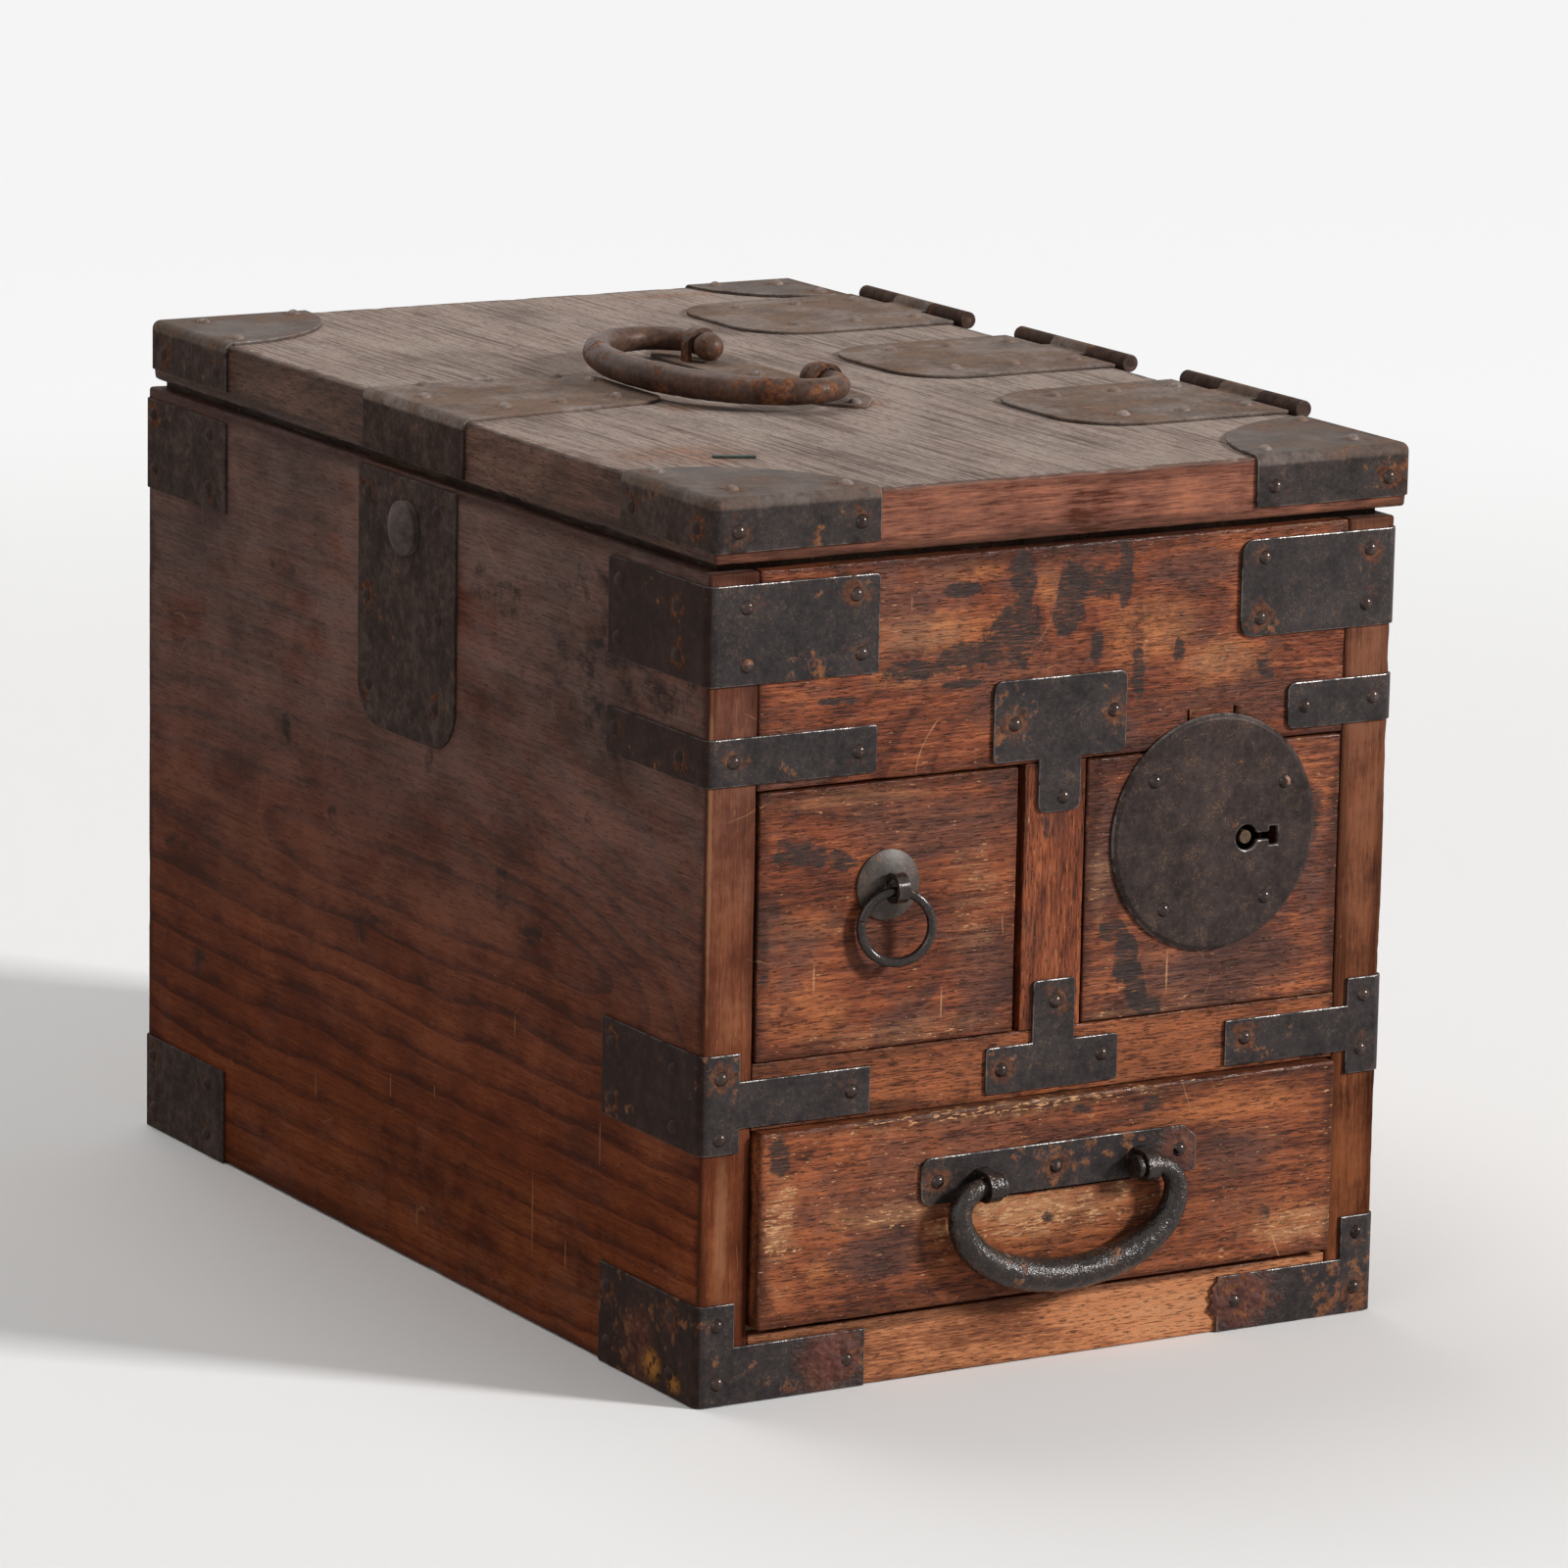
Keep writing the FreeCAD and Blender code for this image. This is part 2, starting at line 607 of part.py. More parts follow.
def hinge_strap(centre):
    """Lid leaf: a round-ended strap with a tongue rolled into the middle knuckle."""
    half = STRAP_WIDTH / 2
    corners = rect(LID_X1 - STRAP_LENGTH, LID_X1, centre - half, centre + half,
                   (STRAP_END_RADIUS, 0, 0, STRAP_END_RADIUS))
    leaf = rounded_prism(corners, in_top, LID_Z1, LID_Z1 + STRAP)
    middle = knuckle_spans(centre)[1]
    tongue = box(LID_X1 - 1, HINGE_X - PIN_RADIUS - 0.6, middle[0], middle[1],
                 LID_Z1, LID_Z1 + STRAP)
    whole = fuse_all([leaf, tongue, knuckle(middle)]).cut(barrel_bore(centre, PIN_FIT))
    for from_edge in STRAP_NAIL_FROM_EDGE:
        for row in (-STRAP_NAIL_ROW, STRAP_NAIL_ROW):
            lid_top_nails.add([V(LID_X1 - from_edge, centre + row, LID_Z1 + STRAP)])
    return whole


def hinge_case_leaf(centre):
    """Case leaf: flat on the side board, stepped out past the lid's edge and up to the barrel."""
    outer = HINGE_X - LEAF_SET_IN
    inner = outer - LEAF_THICK
    top = HINGE_Z - PIN_RADIUS - 0.7
    turn_top = CASE_HEIGHT + LID_GAP
    turn_low = turn_top - LEAF_TURN
    low = CASE_HEIGHT - LEAF_DROP
    profile = [V(RIGHT, 0, low), V(RIGHT + LEAF_THICK, 0, low), V(RIGHT + LEAF_THICK, 0, turn_low),
               V(outer, 0, turn_top), V(outer, 0, top), V(inner, 0, top),
               V(inner, 0, turn_top + 0.5), V(RIGHT, 0, turn_low + 0.5), V(RIGHT, 0, low)]
    sheet = Part.Face(Part.makePolygon(profile)).extrude(V(0, STRAP_WIDTH, 0))
    sheet.translate(V(0, centre - STRAP_WIDTH / 2, 0))
    spans = knuckle_spans(centre)
    whole = fuse_all([sheet, knuckle(spans[0]), knuckle(spans[2])])
    room = box(inner - 1, outer + BARREL_RADIUS + 1, spans[0][1], spans[2][0],
               HINGE_Z - BARREL_RADIUS - CLEAR - 0.1, HINGE_Z + BARREL_RADIUS + 1)
    whole = whole.cut(room).cut(barrel_bore(centre, 0))
    for row in (-STRAP_NAIL_ROW, STRAP_NAIL_ROW):
        case_right_nails.add([V(RIGHT + LEAF_THICK, centre + row, z)
                              for z in (low + 8.0, CASE_HEIGHT - 12.0)])
    return whole


def hinge_pin(centre):
    """Pin the length of its barrel."""
    start = V(HINGE_X, centre - STRAP_WIDTH / 2, HINGE_Z)
    return rod(start, OUT_BACK, PIN_RADIUS, STRAP_WIDTH)


# ---------------------------------------------------------------- case wood
def case_board(block, cuts=()):
    """Board cut to the case's worn outline, with its housings and nail holes."""
    board = CASE_BODY.common(block)
    if cuts:
        board = board.cut(Part.makeCompound(list(cuts)))
    return drilled(board, CASE_ROWS)


def housings():
    """Shelf blocks that run into the side boards, by piece name."""
    x0 = INNER_LEFT - DADO
    x1 = INNER_RIGHT + DADO
    return {
        "bottom_board": box(x0, x1, RAIL_BACK, INNER_BACK, 0, FLOOR_THICK),
        "drawer_shelf": box(x0, x1, RAIL_BACK, INNER_BACK, SMALL_Z0 - FLOOR_THICK, SMALL_Z0),
        "tray_floor": box(x0, x1, FRONT + TOP_RAIL_DEPTH, INNER_BACK,
                          SMALL_Z1, SMALL_Z1 + TRAY_FLOOR_THICK),
    }


def bolt_socket_block():
    """Outer block of the bolt's socket in the top rail."""
    half = BOLT_WIDTH / 2 + 2.8
    return box(BOLT_X - half, BOLT_X + half, FRONT, FRONT + 16.0,
               SMALL_Z1, SMALL_Z1 + BOLT_THROW + 4.0)


def case_wood():
    """Every board and rail of the case, by name."""
    shelves = housings()
    grooves = list(shelves.values())
    shaft = rod(V(LEFT - 1, 0, LATCH_Z), OUT_RIGHT, KNOB_SHAFT + PIN_FIT, BOARD + 2)
    boards = {
        "left_side_board": case_board(box(LEFT, INNER_LEFT, FRONT, BACK, 0, CASE_HEIGHT),
                                      grooves + [shaft]),
        "right_side_board": case_board(box(INNER_RIGHT, RIGHT, FRONT, BACK, 0, CASE_HEIGHT), grooves),
        "back_board": case_board(box(INNER_LEFT, INNER_RIGHT, INNER_BACK, BACK, 0, CASE_HEIGHT)),
        "bottom_front_rail": case_board(box(INNER_LEFT, INNER_RIGHT, FRONT, RAIL_BACK, 0, WIDE_Z0)),
        "middle_front_rail": case_board(box(INNER_LEFT, INNER_RIGHT, FRONT, RAIL_BACK,
                                            WIDE_Z1, SMALL_Z0)),
        "top_front_rail": case_board(box(INNER_LEFT, INNER_RIGHT, FRONT, FRONT + TOP_RAIL_DEPTH,
                                         SMALL_Z1, CASE_HEIGHT), [bolt_socket_block()]),
        "front_divider": case_board(box(-DIVIDER_WIDTH / 2, DIVIDER_WIDTH / 2, FRONT, RAIL_BACK,
                                        SMALL_Z0, SMALL_Z1)),
        "drawer_partition": box(-PARTITION_THICK / 2, PARTITION_THICK / 2, RAIL_BACK, INNER_BACK,
                                SMALL_Z0, SMALL_Z1),
    }
    boards.update(shelves)
    return boards


def bolt_socket():
    """Wooden socket let into the top rail, hollowed for the thrown bolt."""
    pocket = bolt_channel(SMALL_Z1 - 1, SMALL_Z1 + BOLT_THROW + 0.8)
    return bolt_socket_block().cut(pocket)


# ---------------------------------------------------------------- lid
LID_BODY = lid_envelope(0)
LID_SKIN = lid_envelope(PLATE).cut(LID_BODY)
LID_PLATE_Z0 = LID_Z0 + 4.0
LID_BAND_Y = 0.0
LID_BAND_HALF = 37.4
LID_BAND_LENGTH = 86.0
CLIP_LENGTH = 14.6
LID_OVER = LID_ROUND + 0.2


def lid_corner(at_left, at_back, radius):
    """Plate over a lid corner: two edge arms, and a quarter disc on top."""
    x = LID_X0 if at_left else LID_X1
    y = LID_Y1 if at_back else LID_Y0
    into_x = 1 if at_left else -1
    into_y = -1 if at_back else 1
    far_x = x - into_x * (PLATE + 1)
    far_y = y - into_y * (PLATE + 1)
    arm_x = rect(min(far_x, x + into_x * radius), max(far_x, x + into_x * radius),
                 LID_PLATE_Z0, LID_Z1 + PLATE + 1)
    arm_y = rect(min(far_y, y + into_y * radius), max(far_y, y + into_y * radius),
                 LID_PLATE_Z0, LID_Z1 + PLATE + 1)
    near = sorted((far_y, y + into_y * LID_OVER))
    edge_x = rounded_prism(arm_x, in_front, near[0], near[1])
    near = sorted((far_x, x + into_x * LID_OVER))
    edge_y = rounded_prism(arm_y, in_side, near[0], near[1])
    disc = Part.makeCylinder(radius, LID_OVER + PLATE + 1, V(x, y, LID_Z1 - LID_OVER), OUT_TOP)
    quarter = disc.common(box(min(far_x, x + into_x * radius), max(far_x, x + into_x * radius),
                              min(far_y, y + into_y * radius), max(far_y, y + into_y * radius),
                              LID_Z1 - LID_OVER, LID_Z1 + PLATE + 1))
    parts = [LID_SKIN.common(edge_x), LID_SKIN.common(edge_y), LID_SKIN.common(quarter)]
    nail_z = (LID_PLATE_Z0 + LID_Z1) / 2 - 1.5
    end = radius - 8.5
    row_x = lid_back_nails if at_back else lid_front_nails
    row_y = lid_left_nails if at_left else lid_right_nails
    face_y = y - into_y * PLATE
    face_x = x - into_x * PLATE
    row_x.add([V(x + into_x * 8.0, face_y, nail_z), V(x + into_x * (end + 1), face_y, nail_z)])
    row_y.add([V(face_x, y + into_y * 11.0, nail_z), V(face_x, y + into_y * (end + 1), nail_z)])
    top = LID_Z1 + PLATE
    lid_top_nails.add([V(x + into_x * 13.5, y + into_y * 14.0, top),
                       V(x + into_x * end, y + into_y * 8.0, top),
                       V(x + into_x * 8.0, y + into_y * end, top)])
    return fuse_all(parts).Solids[0]


def lid_band():
    """Band over the middle of the lid's left edge, above the latch plate."""
    y0 = LID_BAND_Y - LID_BAND_HALF
    y1 = LID_BAND_Y + LID_BAND_HALF
    side = rounded_prism(rect(y0, y1, LID_Z0 + 0.8, LID_Z1 + PLATE + 1), in_side,
                         LID_X0 - PLATE - 1, LID_X0 + LID_OVER)
    near = LID_X0 - PLATE - 1
    far = LID_X0 + LID_BAND_LENGTH
    outline = [(near, y0, 0), (far, y0 + 9, 12), (far, y1 - 3, 12), (near, y1, 0)]
    top = rounded_prism(outline, in_top, LID_Z1 - LID_OVER, LID_Z1 + PLATE + 1)
    height = LID_Z1 + PLATE
    lid_top_nails.add([V(LID_X0 + 24.7, -20.0, height), V(LID_X0 + 46.9, -19.6, height),
                       V(LID_X0 + 71.0, -16.3, height), V(LID_X0 + 20.1, 32.5, height),
                       V(LID_X0 + 46.3, 31.5, height), V(LID_X0 + 71.7, 30.0, height),
                       V(LID_X0 + 79.5, 18.0, height), V(LID_X0 + 8.7, 9.7, height)])
    return fuse_all([LID_SKIN.common(side), LID_SKIN.common(top)]).Solids[0]


def lid_handle_plate():
    """Long iron plate with pointed ends under both staples of the lid's handle."""
    x0 = LID_BAIL_PIVOT_X - 9.0
    x1 = x0 + 24.4
    tip = (x0 + x1) / 2
    low = LID_BAIL_CENTRE_Y - 69.0
    high = LID_BAIL_CENTRE_Y + 82.0
    outline = [(tip, low, 4), (x1, low + 17, 12), (x1, high - 17, 12),
               (tip, high, 4), (x0, high - 17, 12), (x0, low + 17, 12)]
    height = LID_Z1 + PLATE
    lid_top_nails.add([V(tip, low + 9, height), V(tip, 5.0, height), V(tip, high - 9, height)])
    return rounded_prism(outline, in_top, LID_Z1, height)


def lid_clip():
    """Small flat clip on the lid, its two legs driven into the wood."""
    long = CLIP_LENGTH / 2
    strip = box(-long, long, -1.5, 1.5, 0, 0.8)
    legs = [box(-long, -long + 1.2, -1.0, 1.0, -5.0, 0.4), box(long - 1.2, long, -1.0, 1.0, -5.0, 0.4)]
    clip = fuse_all([strip] + legs)
    clip.rotate(V(0, 0, 0), V(0, 0, 1), -24.0)
    clip.translate(V(LID_X0 + 48.5, LID_Y0 + 73.2, LID_Z1))
    return clip


def slab(origin, along, across, out, size):
    """Block from an origin, centred across: size is its (along, across, out) lengths."""
    length, width, height = size
    corner = origin - across * (width / 2)
    base = Part.makePolygon([corner, corner + along * length,
                             corner + along * length + across * width,
                             corner + across * width, corner])
    return Part.Face(base).extrude(out * height)


def staple(pivot, along, out, neck, base):
    """U-shaped staple that holds a bail.

    pivot is the bail's axis, along that axis' direction, out the way the staple stands,
    neck the bail's radius in it, base the distance from the pivot back to the wood.
    """
    inner = neck + STAPLE_PLAY
    outer = inner + STAPLE_BAND
    start = pivot - along * (STAPLE_WIDTH / 2)
    across = along.cross(out)
    reach = base + STAPLE_LEG
    ring = rod(start, along, outer, STAPLE_WIDTH).cut(rod(start, along, inner, STAPLE_WIDTH))
    bow = ring.common(slab(start, along, across, out, (STAPLE_WIDTH, 2 * outer + 1, outer + 1)))
    pieces = [bow]
    for side in (-1, 1):
        foot = start + across * (side * (inner + outer) / 2) - out * reach
        pieces.append(slab(foot, along, across, out, (STAPLE_WIDTH, STAPLE_BAND, reach)))
    return fuse_all(pieces)


def bail(half_span, half_width, reach, shoulder, radii, end):
    """C-shaped swelling bar: its axis along X at the origin, hanging towards -Z.

    The centre line runs out along the axis, turns a round shoulder and follows a half
    ellipse.  radii are the bar's at the axis, at the ellipse's start and at its middle;
    from there on the radius grows by the sine of the way along the ellipse.
    """
    neck, arm, belly = radii
    corner = half_width - shoulder
    fall = reach - shoulder
    inner_end = half_span - STAPLE_WIDTH / 2 - 0.5
    tip = inner_end - 4.0 if end[0] == "ball" else inner_end
    path = [(tip, 0, 1, 0, neck), (half_span, 0, 1, 0, neck),
            (half_span + STAPLE_WIDTH / 2, 0, 1, 0, neck)]
    for step in (1, 2, 3):
        a = math.radians(90 - 22.5 * step)
        path.append((corner + shoulder * math.cos(a), shoulder * math.sin(a) - shoulder,
                     math.sin(a), -math.cos(a), neck + (arm - neck) * step / 4))
    for step in range(7):
        a = math.radians(15 * step)
        along = V(-half_width * math.sin(a), 0, -fall * math.cos(a))
        along.normalize()
        path.append((half_width * math.cos(a), -shoulder - fall * math.sin(a),
                     along.x, along.z, arm + (belly - arm) * math.sin(a)))
    path += [(-x, z, tx, -tz, r) for x, z, tx, tz, r in reversed(path[:-1])]
    sections = []
    for x, z, tx, tz, r in path:
        circle = Part.Wire(Part.makeCircle(r))
        tangent = V(tx, 0, tz)
        upright = V(0, 1, 0)
        circle.Placement = FreeCAD.Placement(
            V(x, 0, z), FreeCAD.Rotation(upright, tangent.cross(upright), tangent))
        sections.append(circle)
    pieces = [Part.makeLoft(sections, True)]
    for side in (-1, 1):
        if end[0] == "ball":
            pieces.append(Part.makeSphere(end[1], V(side * tip, 0, 0)))
        else:
            pieces.append(rod(V(side * tip, 0, 0), V(-side, 0, 0), end[1], 2.4))
    return fuse_all(pieces)


def lid_bail_pivot(side=0):
    """Point on the lid handle's axis: its centre, or the middle of one staple."""
    return V(LID_BAIL_PIVOT_X, LID_BAIL_CENTRE_Y + side * LID_BAIL_HALF_SPAN,
             LID_Z1 + LID_BAIL_HEIGHT)


def lid_bail():
    """The lid's handle, folded to the left on the lid."""
    bar = bail(LID_BAIL_HALF_SPAN, LID_BAIL_HALF_WIDTH, LID_BAIL_REACH, LID_BAIL_SHOULDER,
               (LID_BAIL_NECK, LID_BAIL_ARM, LID_BAIL_BELLY), ("ball", LID_BAIL_BALL))
    bar.Placement = FreeCAD.Placement(lid_bail_pivot(), FreeCAD.Rotation(V(1, 1, 1), 120))
    return bar


def lid_staples():
    """The two staples of the lid's handle."""
    return [staple(lid_bail_pivot(side), OUT_BACK, OUT_TOP, LID_BAIL_NECK, LID_BAIL_HEIGHT)
            for side in (-1, 1)]


def latch_keeper():
    """Hook under the lid: the latch's cam turns over its ledge."""
    x0 = INNER_LEFT + CAM_OFF_WALL
    x1 = x0 + 4.0
    ledge_top = LATCH_Z - CAM_HALF - 0.5
    ledge_low = ledge_top - 4.5
    web_y = -CAM_LENGTH - 1.0
    web = box(x0, x1, web_y - KEEPER_THICK, web_y, ledge_low, LID_Z0)
    ledge = box(x0, x1, web_y - KEEPER_THICK, web_y + 9.5, ledge_low, ledge_top)
    flange = box(x0, x0 + 22.0, web_y - 10.0, web_y, LID_Z0 - 1.5, LID_Z0)
    return fuse_all([web, ledge, flange])


def lid_battens():
    """Two battens across the lid's underside, inside the case's rim."""
    x = INNER_RIGHT - 16.0
    made = []
    for y in (-BACK + 95.0, BACK - 95.0):
        made.append(box(-x, x, y - 12.0, y + 12.0, LID_Z0 - 8.0, LID_Z0))
    return made


# ---------------------------------------------------------------- small fittings
def dome(radius, wall, rise):
    """Button standing on Z=0: a low cylinder with a ball-faced top."""
    ball = (radius ** 2 + rise ** 2) / (2 * rise)
    low = math.degrees(math.asin((ball - rise) / ball))
    cap = Part.makeSphere(ball, V(0, 0, wall + rise - ball), V(0, 0, 1), low, 90, 360)
    return fuse_all([rod(V(0, 0, 0), V(0, 0, 1), radius, wall), cap])


def stood(shape, point, outward):
    """Shape that stands on Z=0, set on a point of a face with the given outward direction."""
    turned = shape.copy()
    turned.Placement = FreeCAD.Placement(point, FreeCAD.Rotation(V(0, 0, 1), outward))
    return turned


def latch_knob():
    """Turning button on the left side, with its shaft and the rivet at the shaft's end."""
    seat = LEFT - PLATE - CLEAR
    cam_x = INNER_LEFT + CAM_OFF_WALL
    button = stood(dome(KNOB_RADIUS, KNOB_WALL, KNOB_RISE), V(seat, 0, LATCH_Z), OUT_LEFT)
    shaft = rod(V(seat, 0, LATCH_Z), OUT_RIGHT, KNOB_SHAFT, cam_x - seat)
    neck = rod(V(cam_x, 0, LATCH_Z), OUT_RIGHT, KNOB_SHAFT - 0.8, CAM_THICK)
    rivet = stood(dome(KNOB_SHAFT + 0.6, 0.4, 1.0), V(cam_x + CAM_THICK, 0, LATCH_Z), OUT_RIGHT)
    return fuse_all([button, shaft, neck, rivet])


def latch_cam():
    """Finger on the latch's shaft: points up when free, turns over the lid's keeper."""
    cam_x = INNER_LEFT + CAM_OFF_WALL
    tip = CAM_LENGTH - CAM_HALF
    hub = rod(V(cam_x, 0, LATCH_Z), OUT_RIGHT, CAM_HALF + 1.5, CAM_THICK)
    end = rod(V(cam_x, 0, LATCH_Z + tip), OUT_RIGHT, CAM_HALF, CAM_THICK)
    finger = box(cam_x, cam_x + CAM_THICK, -CAM_HALF, CAM_HALF, LATCH_Z, LATCH_Z + tip)
    bore = rod(V(cam_x - 1, 0, LATCH_Z), OUT_RIGHT, KNOB_SHAFT - 0.8, CAM_THICK + 2)
    return fuse_all([hub, end, finger]).cut(bore)


# ---------------------------------------------------------------- drawers
class Drawer:
    """Drawer box: a front, two sides, a back, and a bottom held in grooves."""

    def __init__(self, x0, x1, opening_z0, opening_z1, under, proud, rounding):
        self.x0 = x0
        self.x1 = x1
        self.low = opening_z0 + DRAWER_UNDER_GAP
        self.front_low = opening_z0 + under
        self.top = opening_z1 - DRAWER_TOP_GAP
        self.side_top = self.top - SIDE_BELOW_FRONT
        self.face_y = FRONT - proud
        self.inner_y = self.face_y + FRONT_THICK
        self.side_y0 = self.inner_y - REBATE
        self.rear_y = INNER_BACK - DRAWER_REAR_ROOM
        self.rounding = rounding
        self.floor_z0 = self.low + DRAWER_BOTTOM_UP
        self.floor_z1 = self.floor_z0 + DRAWER_BOTTOM

    def side_blocks(self):
        """The two side boards, before their grooves."""
        return [box(self.x0, self.x0 + DRAWER_SIDE, self.side_y0, self.rear_y,
                    self.low, self.side_top),
                box(self.x1 - DRAWER_SIDE, self.x1, self.side_y0, self.rear_y,
                    self.low, self.side_top)]

    def bottom(self):
        """Bottom board, in grooves of the sides and of the front."""
        return box(self.x0 + DRAWER_SIDE - GROOVE, self.x1 - DRAWER_SIDE + GROOVE,
                   self.inner_y - GROOVE, self.rear_y - DRAWER_BACK,
                   self.floor_z0, self.floor_z1)

    def front(self):
        """Front board with worn edges, rebated for the sides and grooved for the bottom."""
        block = box(self.x0, self.x1, self.face_y, self.inner_y, self.front_low, self.top)
        face = self.face_y
        worn = round_edges(block, self.rounding, lambda e: e.BoundBox.YMax < face + 1e-3)
        return worn.cut(Part.makeCompound(self.side_blocks() + [self.bottom()]))

    def sides(self):
        """Both sides, grooved for the bottom."""
        floor = self.bottom()
        return [block.cut(floor) for block in self.side_blocks()]

    def back(self):
        """Back board between the sides, standing on the lower edge."""
        return box(self.x0 + DRAWER_SIDE, self.x1 - DRAWER_SIDE, self.rear_y - DRAWER_BACK,
                   self.rear_y, self.low, self.side_top)

    def save(self, name, front):
        """Write the drawer's boards, with its finished front."""
        save(name + "_front", [front])
        save(name + "_sides", self.sides())
        save(name + "_back", [self.back()])
        save(name + "_bottom", [self.bottom()])


def runners():
    """Runners under the wide drawer, and guides beside the partition for the small ones."""
    made = []
    for sign in (-1, 1):
        inner = sign * (INNER_RIGHT - RUNNER_WIDTH)
        wall = sign * INNER_RIGHT
        made.append(box(min(inner, wall), max(inner, wall), RAIL_BACK, INNER_BACK,
                        FLOOR_THICK, WIDE_Z0))
        near = sign * PARTITION_THICK / 2
        far = sign * DIVIDER_WIDTH / 2
        made.append(box(min(near, far), max(near, far), RAIL_BACK, INNER_BACK,
                        SMALL_Z0, SMALL_Z0 + GUIDE_HEIGHT))
    return made


def rim_strips():
    """Strips on the case's rim that the closed lid sits on, one along each wall."""
    x0 = LEFT + RIM_SET_IN
    x1 = RIGHT - RIM_SET_IN
    y0 = FRONT + RIM_SET_IN
    y1 = BACK - RIM_SET_IN
    z0 = CASE_HEIGHT
    z1 = LID_Z0 - RIM_CLEAR
    return [box(x0, x0 + RIM_WIDTH, y0, y1, z0, z1), box(x1 - RIM_WIDTH, x1, y0, y1, z0, z1),
            box(x0 + RIM_WIDTH, x1 - RIM_WIDTH, y0, y0 + RIM_WIDTH, z0, z1),
            box(x0 + RIM_WIDTH, x1 - RIM_WIDTH, y1 - RIM_WIDTH, y1, z0, z1)]


# ---------------------------------------------------------------- ring pull
def ring_eye(face_y, inner_y):
    """Eye strap with its shank through the drawer front, clenched on the inside."""
    centre = V(RING_X, face_y - EYE_STAND, RING_EYE_Z)
    start = centre - V(EYE_WIDTH / 2, 0, 0)
    loop = rod(start, OUT_RIGHT, EYE_OUTER, EYE_WIDTH)
    half = EYE_WIDTH / 2
    shank = box(RING_X - half, RING_X + half, face_y - EYE_STAND + EYE_BORE, inner_y,
                RING_EYE_Z - 1.5, RING_EYE_Z + 1.5)
    clench = box(RING_X - half, RING_X + half, inner_y, inner_y + 1.0,
                 RING_EYE_Z - 8.0, RING_EYE_Z + 8.0)
    return fuse_all([loop, shank, clench]).cut(rod(start, OUT_RIGHT, EYE_BORE, EYE_WIDTH))


def pull_ring(face_y):
    """Split ring hanging in the eye, turned a little to the left."""
    drop = RING_DROP + RING_RADIUS
    ring = Part.makeTorus(RING_RADIUS, RING_WIRE, V(0, 0, 0), V(0, 1, 0))
    reach = RING_RADIUS + 2 * RING_WIRE
    split = box(-reach, 0, -reach, reach, -RING_SPLIT / 2, RING_SPLIT / 2)
    split.rotate(V(0, 0, 0), V(0, 1, 0), 12)
    ring = ring.cut(split)
    ring.rotate(V(0, 0, 0), V(0, 0, 1), -RING_YAW)
    ring.translate(V(RING_X, face_y - EYE_STAND, RING_EYE_Z - drop))
    return ring


# ---------------------------------------------------------------- drawer lock
LOCK_CASE_WALL = 1.2
LOCK_CASE_X0 = BOLT_X - 12.0
LOCK_CASE_X1 = KEY_X + 11.5
LOCK_CASE_Z1 = SMALL_Z1 - 7.0
LOCK_CASE_Z0 = LOCK_CASE_Z1 - 44.0
LOCK_CASE_DEEP = 10.0     # let into the inside of the drawer front


def bolt_channel(z0, z1):
    """Room for the bolt between two heights, clear of it all round."""
    half = BOLT_WIDTH / 2 + CLEAR
    y0 = FRONT + BOLT_BEHIND
    return box(BOLT_X - half, BOLT_X + half, y0 - CLEAR, y0 + BOLT_THICK + CLEAR, z0, z1)


def lock_bolt():
    """Flat bolt, drawn down, with a notch for the key's bit."""
    top = SMALL_Z1 - DRAWER_TOP_GAP - 0.2
    y0 = FRONT + BOLT_BEHIND
    half = BOLT_WIDTH / 2
    bar = box(BOLT_X - half, BOLT_X + half, y0, y0 + BOLT_THICK, top - BOLT_LENGTH, top)
    notch = box(BOLT_X + half - 4.0, BOLT_X + half, y0, y0 + BOLT_THICK, KEY_Z - 4.0, KEY_Z + 4.0)
    return bar.cut(notch)


def lock_recess(inner_y):
    """Block of the lock case where it is let into the drawer front."""
    return box(LOCK_CASE_X0, LOCK_CASE_X1, inner_y - LOCK_CASE_DEEP, inner_y,
               LOCK_CASE_Z0, LOCK_CASE_Z1)


def lock_case(face_y, inner_y):
    """Iron box behind the drawer front: flange, walls, and the post the key turns on."""
    wall = LOCK_CASE_WALL
    flange = box(LOCK_CASE_X0 - 4, LOCK_CASE_X1 + 4, inner_y, inner_y + wall,
                 LOCK_CASE_Z0 - 4, LOCK_CASE_Z1 + 4)
    hollow = box(LOCK_CASE_X0 + wall, LOCK_CASE_X1 - wall, inner_y - LOCK_CASE_DEEP - 1, inner_y,
                 LOCK_CASE_Z0 + wall, LOCK_CASE_Z1 - wall)
    walls = lock_recess(inner_y).cut(hollow).cut(bolt_channel(LOCK_CASE_Z1 - 3, LOCK_CASE_Z1 + 1))
    post = rod(V(KEY_X, face_y - 1.0, KEY_Z), OUT_BACK, POST_RADIUS, inner_y - face_y + 1.0)
    return fuse_all([flange, walls, post])


def keyhole(y0, y1):
    """Keyhole: a round hole with a slot that flares at its end."""
    round_part = rod(V(KEY_X, y0, KEY_Z), OUT_BACK, KEYHOLE_RADIUS, y1 - y0)
    slot = box(KEY_X, KEY_X + 9.6, y0, y1, KEY_Z - 1.3, KEY_Z + 1.1)
    flare = box(KEY_X + 9.3, KEY_X + 12.6, y0, y1, KEY_Z - 3.4, KEY_Z + 3.0)
    return fuse_all([round_part, slot, flare])


